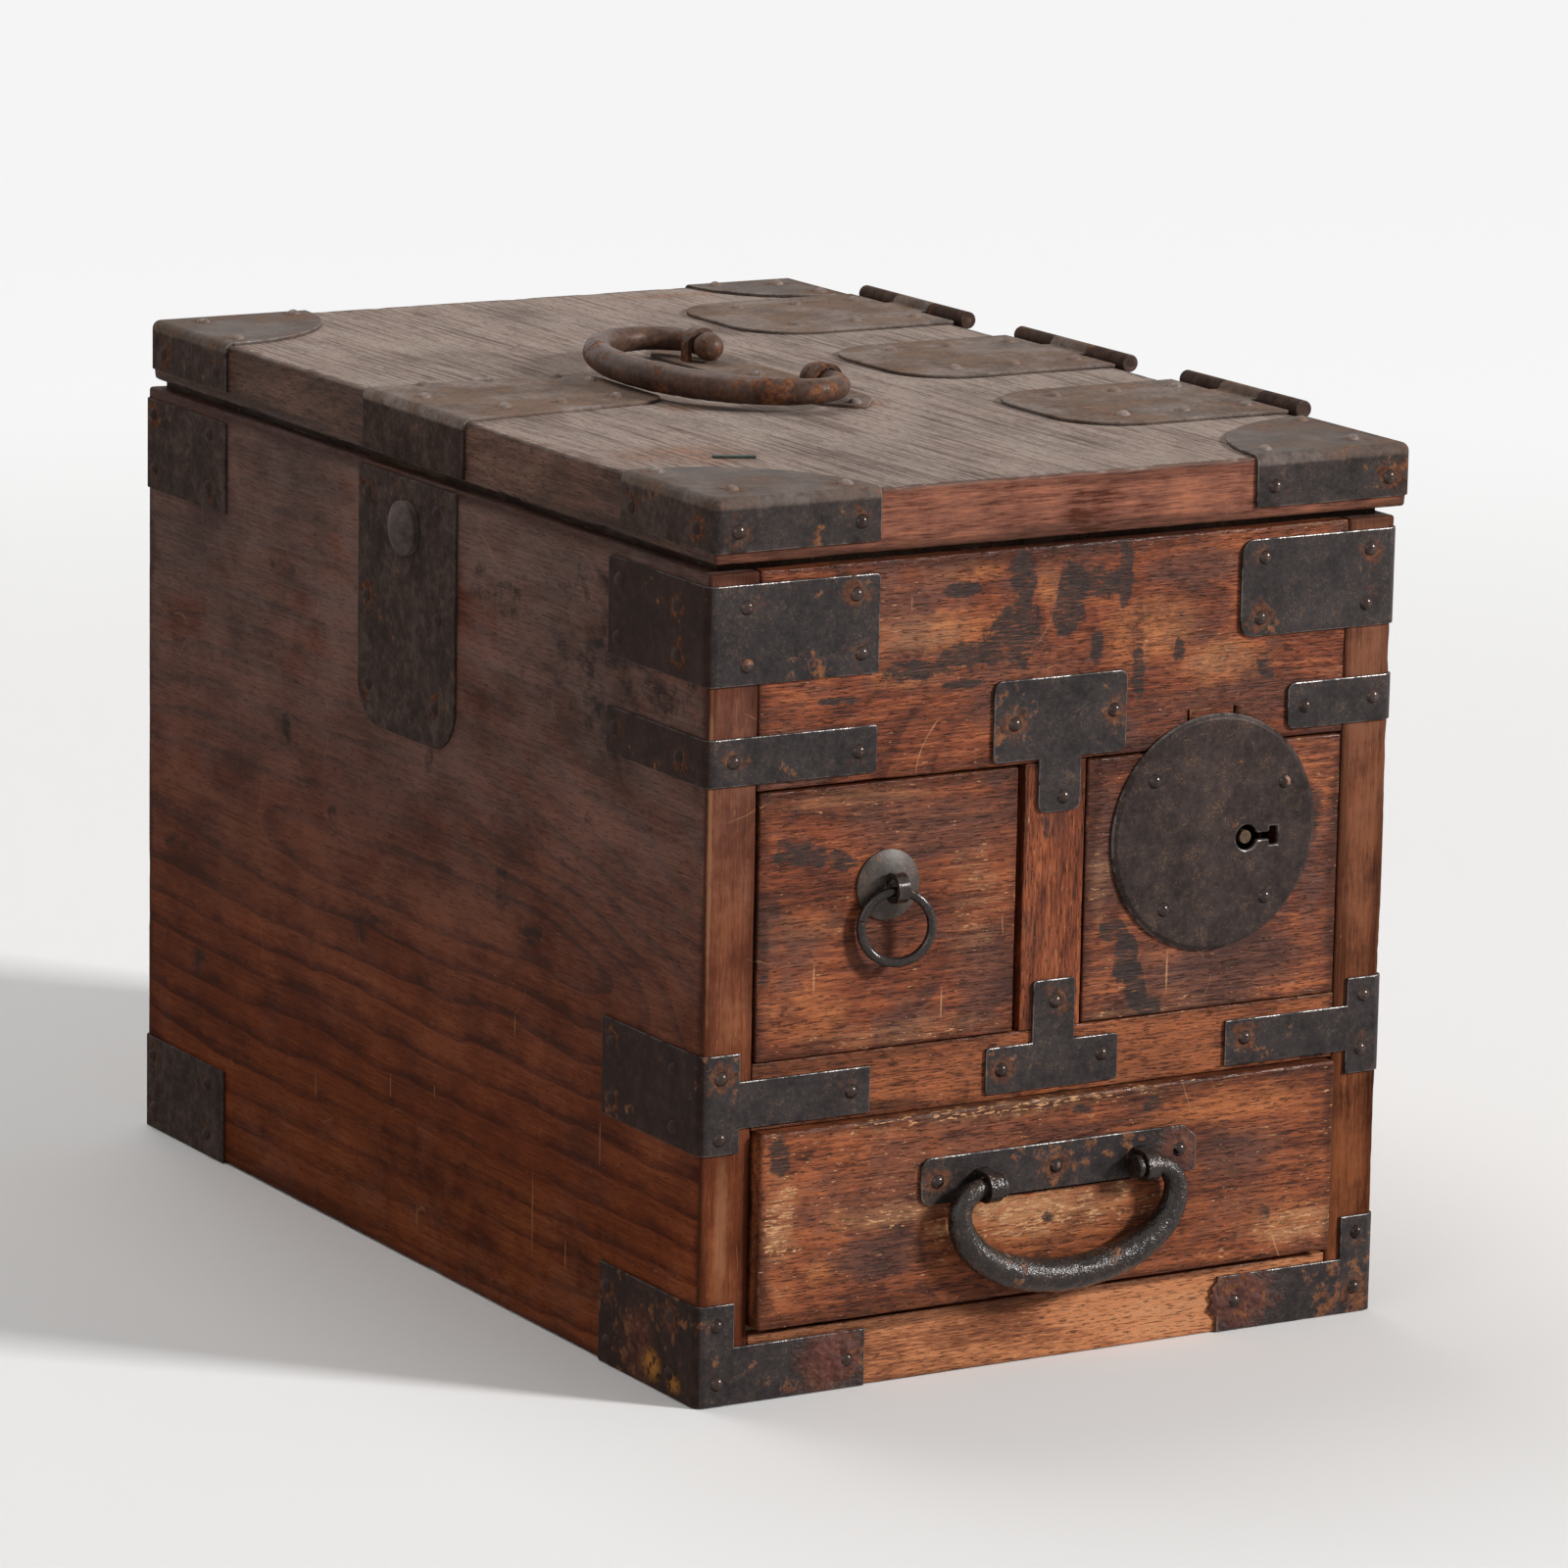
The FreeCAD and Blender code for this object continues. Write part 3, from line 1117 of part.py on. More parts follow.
def lock_plate(face_y):
    """Round lock plate with a bevelled rim, standing over the edge of the rail above."""
    front_y = face_y - LOCK_PLATE
    disc = rod(V(LOCK_X, front_y, LOCK_Z), OUT_BACK, LOCK_RADIUS, LOCK_PLATE)
    rim = [edge for edge in disc.Edges if abs(edge.BoundBox.YMax - front_y) < 1e-3]
    disc = disc.makeChamfer(1.0, 1.8, rim)
    return disc.cut(keyhole(front_y - 1, face_y + 1))


def lock_nail_points(front_y):
    """Heads of the four nails in the lock plate."""
    points = []
    for angle in (141, 29, 231, 311):
        a = math.radians(angle)
        points.append(V(LOCK_X + LOCK_NAIL_CIRCLE * math.cos(a), front_y,
                        LOCK_Z + LOCK_NAIL_CIRCLE * math.sin(a)))
    return points


# ---------------------------------------------------------------- wide drawer's handle
def drawer_bail_pivot(side=0):
    """Point on the drawer handle's axis: its centre, or the middle of one staple."""
    return V(DRAWER_BAIL_CENTRE_X + side * DRAWER_BAIL_HALF_SPAN,
             FRONT - WIDE_FRONT_PROUD - PLATE - DRAWER_BAIL_STAND, DRAWER_BAIL_PIVOT_Z)


def drawer_bail():
    """The wide drawer's handle, hanging in front of its plate."""
    bar = bail(DRAWER_BAIL_HALF_SPAN, DRAWER_BAIL_HALF_WIDTH, DRAWER_BAIL_REACH,
               DRAWER_BAIL_SHOULDER, (DRAWER_BAIL_NECK, DRAWER_BAIL_ARM, DRAWER_BAIL_BELLY),
               ("disc", DRAWER_BAIL_HEAD))
    bar.translate(drawer_bail_pivot())
    return bar


def drawer_staples():
    """The two staples of the wide drawer's handle."""
    return [staple(drawer_bail_pivot(side), OUT_RIGHT, OUT_FRONT, DRAWER_BAIL_NECK,
                   DRAWER_BAIL_STAND + PLATE) for side in (-1, 1)]


def drawer_handle_plate(face_y):
    """Long plate behind the handle, one corner rusted away."""
    x0 = DRAWER_BAIL_CENTRE_X - DRAWER_PLATE_HALF
    x1 = DRAWER_BAIL_CENTRE_X + DRAWER_PLATE_HALF
    z0 = DRAWER_BAIL_PIVOT_Z - 5.5
    z1 = DRAWER_BAIL_PIVOT_Z + 10.9
    outline = [(x0, z0, 4), (x1, z0, 1.5), (x1, z1 - 4.4, 1), (x1 - 5.5, z1, 1), (x0, z1, 4)]
    return rounded_prism(outline, in_front, face_y - PLATE, face_y)


# ---------------------------------------------------------------- write every piece
def save_case(plates, leaves):
    """Write the pieces of the fixed case."""
    for name, board in case_wood().items():
        save(name, [drilled(board, CASE_ROWS)])
    save("bolt_socket", [bolt_socket()])
    save("drawer_runners", runners())
    save("rim_strips", rim_strips())
    for name, sheets in plates.items():
        save(name, [drilled(sheet, CASE_ROWS) for sheet in sheets])
    save("hinge_case_leaves", [drilled(leaf, CASE_ROWS) for leaf in leaves])
    save("hinge_pins", [hinge_pin(y) for y in STRAP_CENTRES_Y])
    save("case_nails", [one for row in CASE_ROWS for one in row.solids()])


def case_iron():
    """Undrilled plates of the case, by piece name."""
    pairs = {"front_corner_plates": corner_plates(), "front_bands": bands(),
             "waist_brackets": waist_brackets(), "front_foot_plates": foot_plates(),
             "t_plates": t_plates()}
    plates = {}
    for name, members in pairs.items():
        plates[name] = [case_plate(regions) for regions in members.values()]
    plates["back_corner_plates"] = back_corner_plates()
    plates["latch_plate"] = [latch_plate()]
    return plates


def save_lid():
    """Write the lid's pieces and its handle."""
    corners = [lid_corner(at_left, at_back, LID_CORNER_RADIUS if at_left or not at_back
                          else LID_SHORT_RADIUS)
               for at_left in (True, False) for at_back in (False, True)]
    band = lid_band()
    handle_plate = lid_handle_plate()
    straps = [hinge_strap(y) for y in STRAP_CENTRES_Y]
    staples = lid_staples()
    clip = lid_clip()
    legs = Part.makeCompound(staples)
    save("lid_board", [drilled(LID_BODY, LID_ROWS).cut(legs).cut(clip).Solids[0]])
    save("lid_clip", [clip])
    save("lid_battens", lid_battens())
    save("lid_corner_plates", [drilled(plate, LID_ROWS) for plate in corners])
    save("lid_band", [drilled(band, LID_ROWS)])
    save("hinge_straps", [drilled(strap, LID_ROWS) for strap in straps])
    save("lid_handle_plate", [drilled(handle_plate, LID_ROWS).cut(legs)])
    save("lid_staples", staples)
    save("lid_nails", [one for row in LID_ROWS for one in row.solids()])
    save("latch_keeper", [latch_keeper()])
    save("lid_bail", [lid_bail()])


def save_ring_drawer():
    """Write the left small drawer and its ring pull."""
    drawer = Drawer(INNER_LEFT + 1.0, -DIVIDER_WIDTH / 2 - RING_DRAWER_SIDE_GAP,
                    SMALL_Z0, SMALL_Z1, DRAWER_UNDER_GAP, SMALL_FRONT_PROUD, SMALL_FRONT_ROUND)
    eye = ring_eye(drawer.face_y, drawer.inner_y)
    rosette = stood(dome(ROSETTE_RADIUS, ROSETTE_WALL, ROSETTE_RISE),
                    V(RING_X, drawer.face_y, RING_EYE_Z), OUT_FRONT)
    drawer.save("ring_drawer", drawer.front().cut(eye))
    hollow = rod(V(RING_X - EYE_WIDTH / 2, drawer.face_y - EYE_STAND, RING_EYE_Z), OUT_RIGHT,
                 EYE_OUTER, EYE_WIDTH)
    save("ring_rosette", [rosette.cut(hollow).cut(eye).Solids[0]])
    save("ring_eye", [eye])
    save("pull_ring", [pull_ring(drawer.face_y)])


def save_lock_drawer():
    """Write the right small drawer, its lock and the lock's bolt."""
    drawer = Drawer(DIVIDER_WIDTH / 2 + DRAWER_GAP, INNER_RIGHT - DRAWER_GAP,
                    SMALL_Z0, SMALL_Z1, DRAWER_UNDER_GAP, SMALL_FRONT_PROUD, SMALL_FRONT_ROUND)
    face = drawer.face_y
    nails = NailRow(OUT_FRONT)
    nails.add(lock_nail_points(face - LOCK_PLATE))
    rooms = [lock_recess(drawer.inner_y), keyhole(face - 1, drawer.inner_y),
             bolt_channel(LOCK_CASE_Z1 - 1, SMALL_Z1)]
    front = drawer.front().cut(Part.makeCompound(rooms))
    drawer.save("lock_drawer", drilled(front, [nails]))
    save("lock_plate", [drilled(lock_plate(face), [nails])])
    save("lock_case", [lock_case(face, drawer.inner_y)])
    save("lock_nails", nails.solids())
    save("lock_bolt", [lock_bolt()])


def save_wide_drawer():
    """Write the wide drawer and its handle."""
    drawer = Drawer(INNER_LEFT + 1.2, INNER_RIGHT - 1.2, WIDE_Z0, WIDE_Z1 + 0.4,
                    2.0, WIDE_FRONT_PROUD, WIDE_FRONT_ROUND)
    nails = NailRow(OUT_FRONT)
    front_y = drawer.face_y - PLATE
    nails.add([V(DRAWER_BAIL_CENTRE_X + u, front_y, DRAWER_BAIL_PIVOT_Z + 2.5)
               for u in (-48.6, -1.6, 48.2)])
    staples = drawer_staples()
    legs = Part.makeCompound(staples)
    drawer.save("wide_drawer", drilled(drawer.front().cut(legs), [nails]))
    save("drawer_handle_plate", [drilled(drawer_handle_plate(drawer.face_y), [nails]).cut(legs)])
    save("drawer_staples", staples)
    save("drawer_handle_nails", nails.solids())
    save("drawer_bail", [drawer_bail()])


os.makedirs("parts", exist_ok=True)
save_case(case_iron(), [hinge_case_leaf(y) for y in STRAP_CENTRES_Y])
save_lid()
save_ring_drawer()
save_lock_drawer()
save_wide_drawer()
save("latch_knob", [latch_knob()])
save("latch_cam", [latch_cam()])
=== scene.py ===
import json
import logging
from dataclasses import dataclass, field, replace
from enum import Enum
from itertools import product
from typing import Optional, Sequence, Union

import bmesh
import bpy
import numpy as np
from mathutils import Matrix, Vector


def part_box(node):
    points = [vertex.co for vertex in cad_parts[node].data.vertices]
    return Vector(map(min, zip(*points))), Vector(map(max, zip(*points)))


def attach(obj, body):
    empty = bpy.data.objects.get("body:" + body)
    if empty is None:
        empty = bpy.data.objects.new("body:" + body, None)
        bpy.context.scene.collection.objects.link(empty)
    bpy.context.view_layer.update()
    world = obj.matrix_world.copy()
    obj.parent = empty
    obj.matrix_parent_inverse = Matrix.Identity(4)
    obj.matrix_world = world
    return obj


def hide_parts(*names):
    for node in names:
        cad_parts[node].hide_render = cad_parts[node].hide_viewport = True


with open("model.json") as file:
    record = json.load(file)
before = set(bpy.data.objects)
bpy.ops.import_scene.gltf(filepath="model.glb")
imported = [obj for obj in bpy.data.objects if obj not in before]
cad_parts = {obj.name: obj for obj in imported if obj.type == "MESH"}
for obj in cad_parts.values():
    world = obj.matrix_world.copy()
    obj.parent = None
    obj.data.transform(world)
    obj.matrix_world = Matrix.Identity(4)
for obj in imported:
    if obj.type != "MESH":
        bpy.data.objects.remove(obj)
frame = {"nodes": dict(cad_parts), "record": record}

LOG = logging.getLogger("ship_chest")
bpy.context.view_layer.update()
MM = 0.001
WELD = 0.002 * MM
Triple = tuple[float, float, float]
Number = Union[int, float]
Term = Union["Sock", int, float]
BODY_OF = {node: body for body, nodes in frame["record"]["behaviour"]["bodies"].items()
           for node in nodes}


# ---------------------------------------------------------------- shader maths
class Sock:
    """One shader value. Python's operators on it add Math nodes."""

    def __init__(self, graph: "Graph", socket: bpy.types.NodeSocket) -> None:
        """Wraps an output socket of a node in the graph."""
        self.graph = graph
        self.socket = socket

    def math(self, operation: str, *others: Term) -> "Sock":
        """One Math node on this value and others."""
        return self.graph.node("ShaderNodeMath", {"operation": operation}, [self, *others])

    def __add__(self, other: Term) -> "Sock":
        """Sum."""
        return self.math("ADD", other)

    def __sub__(self, other: Term) -> "Sock":
        """Difference."""
        return self.math("SUBTRACT", other)

    def __rsub__(self, other: Number) -> "Sock":
        """Difference from a plain number."""
        return self.graph.node("ShaderNodeMath", {"operation": "SUBTRACT"}, [other, self])

    def __mul__(self, other: Term) -> "Sock":
        """Product."""
        return self.math("MULTIPLY", other)

    def __pow__(self, other: Number) -> "Sock":
        """Power."""
        return self.math("POWER", other)

    __radd__ = __add__
    __rmul__ = __mul__

    def least(self, other: Term) -> "Sock":
        """The smaller of two values."""
        return self.math("MINIMUM", other)

    def most(self, other: Term) -> "Sock":
        """The larger of two values."""
        return self.math("MAXIMUM", other)

    def step(self, zero: float, one: float) -> "Sock":
        """Smooth change from 0 where the value is zero to 1 where it is one.

        Args:
            zero: Value where the result is 0.
            one: Value where the result is 1; it may be the smaller of the two.

        Returns:
            The value between 0 and 1.
        """
        ends = (0.0, 1.0) if zero < one else (1.0, 0.0)
        return self.graph.node(
            "ShaderNodeMapRange", {"interpolation_type": "SMOOTHSTEP"},
            {"Value": self, "From Min": min(zero, one), "From Max": max(zero, one),
             "To Min": ends[0], "To Max": ends[1]})


Input = Union[Sock, Number, Triple]


@dataclass(frozen=True)
class Mark:
    """A stain or a worn place: a soft ellipsoid with a ragged rim, in millimetres."""

    centre: Triple
    reach: Triple
    strength: float = 1.0


class Graph:
    """The node tree of one material."""

    def __init__(self, name: str) -> None:
        """Makes a material with one Principled shader.

        Args:
            name: The material's name.
        """
        self.material = bpy.data.materials.new(name)
        self.material.use_nodes = True
        self.tree = self.material.node_tree
        self.shader = self.tree.nodes["Principled BSDF"]

    def node(self, kind: str, settings: dict[str, object], inputs: Union[dict, list],
             output: Union[int, str] = 0) -> Sock:
        """Adds any node.

        Args:
            kind: The node's type.
            settings: Its own settings, set first; "stops" fills a colour ramp.
            inputs: Values or links, by socket name or index, or as a list in order.
            output: Which output to return.

        Returns:
            The output as a shader value.
        """
        made = self.tree.nodes.new(kind)
        for key, value in settings.items():
            if key == "stops":
                self._stops(made.color_ramp, value)
            else:
                setattr(made, key, value)
        pairs = inputs.items() if isinstance(inputs, dict) else enumerate(inputs)
        for key, value in pairs:
            self.feed(made.inputs[key], value)
        return Sock(self, made.outputs[output])

    @staticmethod
    def _stops(ramp: bpy.types.ColorRamp, stops: Sequence[tuple[float, Triple]]) -> None:
        """Gives a colour ramp its stops.

        Args:
            ramp: The ramp.
            stops: Place and colour of each.
        """
        while len(ramp.elements) < len(stops):
            ramp.elements.new(0.5)
        for element, (place, colour) in zip(ramp.elements, stops):
            element.position = place
            element.color = (*colour, 1.0)

    def feed(self, socket: bpy.types.NodeSocket, value: Input) -> None:
        """Links a shader value to a socket, or sets a plain value on it.

        Args:
            socket: The socket that gets it.
            value: The value; a colour goes in without its alpha.
        """
        if isinstance(value, Sock):
            self.tree.links.new(value.socket, socket)
        elif isinstance(value, tuple) and len(socket.default_value) == 4:
            socket.default_value = (*value, 1.0)
        else:
            socket.default_value = value

    def finish(self, **inputs: Input) -> bpy.types.Material:
        """Feeds the shader.

        Args:
            inputs: Its inputs by name, with an underscore for each space.

        Returns:
            The material.
        """
        for key, value in inputs.items():
            self.feed(self.shader.inputs[key.replace("_", " ")], value)
        return self.material

    def place(self) -> Sock:
        """Object coordinates, in metres."""
        return self.node("ShaderNodeTexCoord", {}, {}, "Object")

    def split(self, vector: Sock) -> tuple[Sock, Sock, Sock]:
        """The three parts of a vector."""
        parts = self.node("ShaderNodeSeparateXYZ", {}, [vector]).socket.node
        return tuple(Sock(self, out) for out in parts.outputs)

    def join(self, x: Input, y: Input, z: Input) -> Sock:
        """A vector from three parts."""
        return self.node("ShaderNodeCombineXYZ", {}, [x, y, z])

    def vector(self, operation: str, *inputs: Input, output: int = 0) -> Sock:
        """One Vector Math node."""
        return self.node("ShaderNodeVectorMath", {"operation": operation}, list(inputs), output)

    def noise(self, vector: Sock, scale: float, detail: float = 3.0,
              rough: float = 0.55) -> Sock:
        """Fractal noise about 0.5.

        Args:
            vector: Where it is read.
            scale: Features per unit.
            detail: Octaves.
            rough: How much each octave adds.

        Returns:
            The value.
        """
        return self.node("ShaderNodeTexNoise", {}, {
            "Vector": vector, "Scale": scale, "Detail": detail, "Roughness": rough})

    def ramp(self, value: Sock, *stops: tuple[float, Triple]) -> Sock:
        """A colour from a value."""
        return self.node("ShaderNodeValToRGB", {"stops": list(stops)}, [value])

    def mix(self, amount: Input, first: Input, second: Input, blend: str = "MIX") -> Sock:
        """Blend of two colours: amount 0 gives the first, 1 the second."""
        return self.node("ShaderNodeMix", {"data_type": "RGBA", "blend_type": blend},
                         {0: amount, 6: first, 7: second}, 2)

    def bump(self, height: Sock, depth: float) -> Sock:
        """Normal bent by a height field whose 1 stands for depth metres."""
        return self.node("ShaderNodeBump", {}, {"Height": height, "Distance": depth}, "Normal")

    def marks(self, place: Sock, ragged: Sock, marks: tuple[Mark, ...],
              fray: float = 3.0) -> Optional[Sock]:
        """Mask of some marks: the largest of strength times a fall from 1 to 0.

        The fall is over q = |(place - centre) / reach| + fray (ragged - 0.5), from 0.4 to 1.3.

        Args:
            place: Object coordinates.
            ragged: Noise that frays the rims.
            marks: The marks.
            fray: How much it frays them.

        Returns:
            The mask, or None where there are no marks.
        """
        mask = None
        shift = (ragged - 0.5) * fray
        for mark in marks:
            away = self.vector("SUBTRACT", place, tuple(c * MM for c in mark.centre))
            unit = self.vector("DIVIDE", away, tuple(r * MM for r in mark.reach))
            far = self.vector("LENGTH", unit, output=1)
            spot = (far + shift).step(1.3, 0.4) * mark.strength
            mask = spot if mask is None else mask.most(spot)
        return mask

    def seen(self) -> Sock:
        """Tells what the camera sees from what only lights the chest.

        Returns:
            1 for rays from the camera and for those by way of metal or glass, else 0.
        """
        first = self.node("ShaderNodeLightPath", {}, {}, "Is Camera Ray")
        outputs = first.socket.node.outputs
        return first.most(Sock(self, outputs["Is Glossy Ray"])).most(
            Sock(self, outputs["Is Transmission Ray"]))

    def edge_distance(self, place: Sock, low: np.ndarray, high: np.ndarray) -> Sock:
        """Distance from a point on a box's surface to the box's nearest edge.

        With d_k the distance along axis k to the nearer face, a surface point has one d_k
        near 0, and its edge distance is the middle one of the three:
        max(min(dx, dy), min(max(dx, dy), dz)).

        Args:
            place: Object coordinates.
            low: The box's lowest corner.
            high: Its highest corner.

        Returns:
            The distance in metres.
        """
        dx, dy, dz = ((part - float(lo)).least(float(hi) - part)
                      for part, lo, hi in zip(self.split(place), low, high))
        return dx.least(dy).most(dx.most(dy).least(dz))

    def nearest(self, place: Sock, points: Sequence[Triple]) -> Sock:
        """Distance to the nearest of some points.

        Args:
            place: Object coordinates.
            points: The points, in metres.

        Returns:
            The distance in metres.
        """
        gap = None
        for point in points:
            one = self.vector("DISTANCE", place, tuple(point), output=1)
            gap = one if gap is None else gap.least(one)
        return gap


class Sky(Graph):
    """The node tree of the world."""

    def __init__(self, name: str) -> None:
        """Makes a world with one Background shader.

        Args:
            name: The world's name.
        """
        self.world = bpy.data.worlds.new(name)
        self.world.use_nodes = True
        self.tree = self.world.node_tree
        self.shader = self.tree.nodes["Background"]


def clusters(node: str, reach: float) -> list[Triple]:
    """Middles of a node's separate small pieces, such as its nails.

    Args:
        node: The CAD node.
        reach: Half the farthest that a piece's points lie from its middle, in metres.

    Returns:
        The middles.
    """
    mesh = frame["nodes"][node].data
    rest = np.empty(len(mesh.vertices) * 3)
    mesh.vertices.foreach_get("co", rest)
    rest = np.unique(np.round(rest.reshape(-1, 3), 5), axis=0)
    found = []
    while len(rest):
        near = np.linalg.norm(rest - rest[0], axis=1) < 2.5 * reach
        middle = rest[near].mean(axis=0)
        near = np.linalg.norm(rest - middle, axis=1) < 2.0 * reach
        near[0] = True
        found.append(tuple(float(c) for c in middle))
        rest = rest[~near]
    return found


# ---------------------------------------------------------------- finishes
SOOT_BLACK = (0.024, 0.0190, 0.0175)
WARM_PLACES = ((0.27, 0.083, 0.030), (0.50, 0.175, 0.060))
LID_DUST = (0.405, 0.335, 0.290)
PLATE_DUST = ((0.370, 0.295, 0.255), (0.250, 0.170, 0.128))
IRON_SPECK = (0.165, 0.088, 0.044)
# Colour of the eased iron edges: worn bare metal, and a painted highlight for their glints.
BARE_EDGE_IRON_AND_GLINT = (0.185, 0.175, 0.168)
OCHRE_RUST = (0.46, 0.19, 0.038)
RUST_STOPS = ((0.38, (0.040, 0.017, 0.012)), (0.5, (0.125, 0.046, 0.023)),
              (0.62, (0.24, 0.098, 0.042)))
SCAB_STOPS = ((0.36, (0.034, 0.013, 0.011)), (0.5, (0.120, 0.042, 0.026)),
              (0.62, (0.23, 0.090, 0.046)))
FLANK = (134.2 * MM, 134.9 * MM)


def shade(colour: Triple, share: float) -> Triple:
    """A colour made darker or lighter."""
    return tuple(share * c for c in colour)


class Grain(Enum):
    """Which axes the grain runs along, across and through a board."""

    X = (0, 2, 1)
    Y = (1, 2, 0)
    Y_FLAT = (1, 0, 2)
    Z = (2, 0, 1)


@dataclass(frozen=True)
class Stains:
    """Marks on one board: smoke, worn, reddish and dull places, and light scratches."""

    soot: tuple[Mark, ...] = ()
    pale: tuple[Mark, ...] = ()
    warm: tuple[Mark, ...] = ()
    veil: tuple[Mark, ...] = ()
    nicks: tuple[Mark, ...] = ()


@dataclass(frozen=True)
class Wood:
    """Old varnished board.

    deep, body and light are the wood's shades, bare is worn wood, film the dull patches and
    the painted sheen.  filmy, haze (a painted sheen that rises to the top), figure, rings,
    pores, flecks, scratches, soot, rim and dust are shares.
    ring and grime are millimetres: a growth ring's width, and how far dirt reaches in.
    coarse is the pores' size, gloss the roughness, relief the bumps' height in millimetres
    and shine the reflection's strength.
    """

    deep: Triple
    body: Triple
    light: Triple
    bare: Triple
    slot: str
    film: Triple = (0.072, 0.038, 0.031)
    filmy: float = 0.6
    painted_sheen: float = 0.0
    figure: float = 1.0
    rings: float = 0.25
    ring: float = 9.0
    pores: float = 0.7
    coarse: float = 1.0
    flecks: float = 0.5
    scratches: float = 0.5
    soot: float = 0.6
    rim: float = 0.8
    grime: float = 5.0
    dust: float = 0.0
    gloss: float = 0.38
    relief: float = 0.5
    shine: float = 0.18

    def shades(self, graph: Graph, tone: Sock) -> Sock:
        """The wood's colour for a tone between 0 and 1."""
        return graph.ramp(tone, (0.14, self.deep), (0.50, self.body), (0.88, self.light))


class BoardPaint:
    """The layers of one board's material, from the timber up to the dust."""

    def __init__(self, board: "Board", low: np.ndarray, high: np.ndarray) -> None:
        """Works out the coordinates and noises that the layers share.

        Args:
            board: The board, whose seed moves the pattern.
            low: Its lowest corner, in metres.
            high: Its highest corner.
        """
        self.board, self.finish, self.low, self.high = board, board.finish, low, high
        self.graph = g = Graph(f"wood_{board.node}")
        self.place = g.place()
        self.parts = g.split(self.place)
        self.end = (self.parts[1].step(float(low[1]) + 1.5 * MM, float(low[1]) + 0.7 * MM)
                    if board.ends else None)
        along, self.across, self.through = (self.parts[k] for k in board.grain.value)
        self.along = along + board.seed
        self.blotch = g.noise(g.join(self.along * 0.6, self.across, self.through), 34.0, 5.0,
                              0.64)
        self.broad = g.noise(self._stretched(6.0, 15.0), 1.0)
        self.fibre = g.noise(self._stretched(140.0, 1500.0), 1.0, 2.0, 0.6)
        self.streak = g.noise(self._stretched(14.0, 520.0), 1.0, 4.0, 0.68)
        self.ragged = g.noise(self.place, 110.0, 5.0, 0.70)
        self.edge = g.edge_distance(self.place, low, high)
        self.warm = g.marks(self.place, self.blotch, board.stains.warm)
        self.pore = self._pores()
        self.line = self._rings()

    def _stretched(self, run: float, wide: float) -> Sock:
        """Coordinates for streaks along the grain, which run across it on the front end.

        Args:
            run: Features a metre along the grain.
            wide: Features a metre across it.

        Returns:
            The coordinates.
        """
        cross = (self.across * wide if self.end is None
                 else self.across * (self.end * (run - wide) + wide))
        return self.graph.join(self.along * run, cross, self.through * wide)

    def _off_end(self, mask: Sock, share: float) -> Sock:
        """A mask made weaker by a share on the front end."""
        return mask if self.end is None else mask * (1.0 - self.end * share)

    def _pores(self) -> Sock:
        """Short dark pores.

        Returns:
            The mask.
        """
        coarse = self.finish.coarse
        dash = self.graph.noise(self._stretched(230.0 / coarse, 1900.0 / coarse), 1.0, 2.0, 0.5)
        return self._off_end(dash.step(0.57, 0.66), 0.7)

    def _rings(self) -> Sock:
        """Growth rings.

        The distance from a pith line that leans through the board, bent by slow noise, is
        divided by the ring's width; the fraction darkens slowly and ends in a soft line.

        Returns:
            Mask of the lines.
        """
        across = self.board.grain.value[1]
        midway = float(self.low[across] + self.high[across]) * 0.5
        drift = self.graph.noise(self._stretched(3.0, 9.0), 1.0, 2.0)
        depth = (self.through * 0.8 + self.along * 0.2 + drift * 0.16
                 + (self.board.seed * 0.013 - 0.04))
        side = self.across + self.blotch * 0.010 - midway
        count = (side * side + depth * depth) ** 0.5 * (1000.0 / self.finish.ring)
        ring = count.math("FRACT")
        line = ring.step(0.50, 0.94) * ring.step(1.0, 0.94)
        line = line * (self.broad * 2.2 - 0.4).most(0.0)
        return line if self.end is None else line * (1.0 - self.end)

    def _lay(self, amount: Input, over: Input) -> None:
        """Lays a colour over what is there."""
        self.colour = self.graph.mix(amount, self.colour, over)

    def _timber(self) -> None:
        """Lays the varnished wood with its reddish places."""
        g, finish = self.graph, self.finish
        tone = (self.blotch * 1.4 + self.broad * 0.7
                + (self.fibre + self.streak * 1.2) * finish.figure
                - self.line * finish.rings - (0.55 + 1.1 * finish.figure))
        self.colour = finish.shades(g, tone)
        if self.end is not None:
            self._lay(self.end, self.board.ends.shades(g, tone))
        if self.warm is not None:
            glow = g.mix((self.fibre * 0.5 + self.streak * 0.5).step(0.38, 0.62), *WARM_PLACES)
            self._lay(self.warm * (self.blotch * 0.4 + self.ragged * 0.6).step(0.36, 0.56), glow)

    def _veil(self) -> None:
        """Lays dull patches, a painted sheen that thickens towards the top, and then the pores.
        """
        g, finish = self.graph, self.finish
        patch = g.noise(g.vector("ADD", g.join(self.along * 0.7, self.across, self.through),
                                 (2.2, 5.1, 3.7)), 24.0, 5.0, 0.66)
        veil = (patch * 0.8 + self.ragged * 0.2).step(0.50, 0.60) * finish.filmy
        placed = g.marks(self.place, self.blotch, self.board.stains.veil)
        if placed is not None:
            veil = veil.most(placed * 0.8)
        # Painted sheen: a pale film that thickens towards the board's top, standing in for
        # reflected light.
        if finish.painted_sheen:
            rise = self.parts[2].step(float(self.low[2]) + 0.04, float(self.high[2]) - 0.02)
            thick = (patch * 1.4 + self.blotch * 0.6).step(0.40, 1.15)
            veil = veil.most(rise * thick * finish.painted_sheen)
        cloudy = (self.fibre * 0.25 + self.streak * 0.25 + self.blotch * 0.5).step(0.38, 0.62)
        self._lay(self._off_end(veil, 0.6),
                  g.mix(cloudy, shade(finish.film, 0.60), shade(finish.film, 1.30)))
        self._lay(self.pore * finish.pores, shade(finish.deep, 0.35))

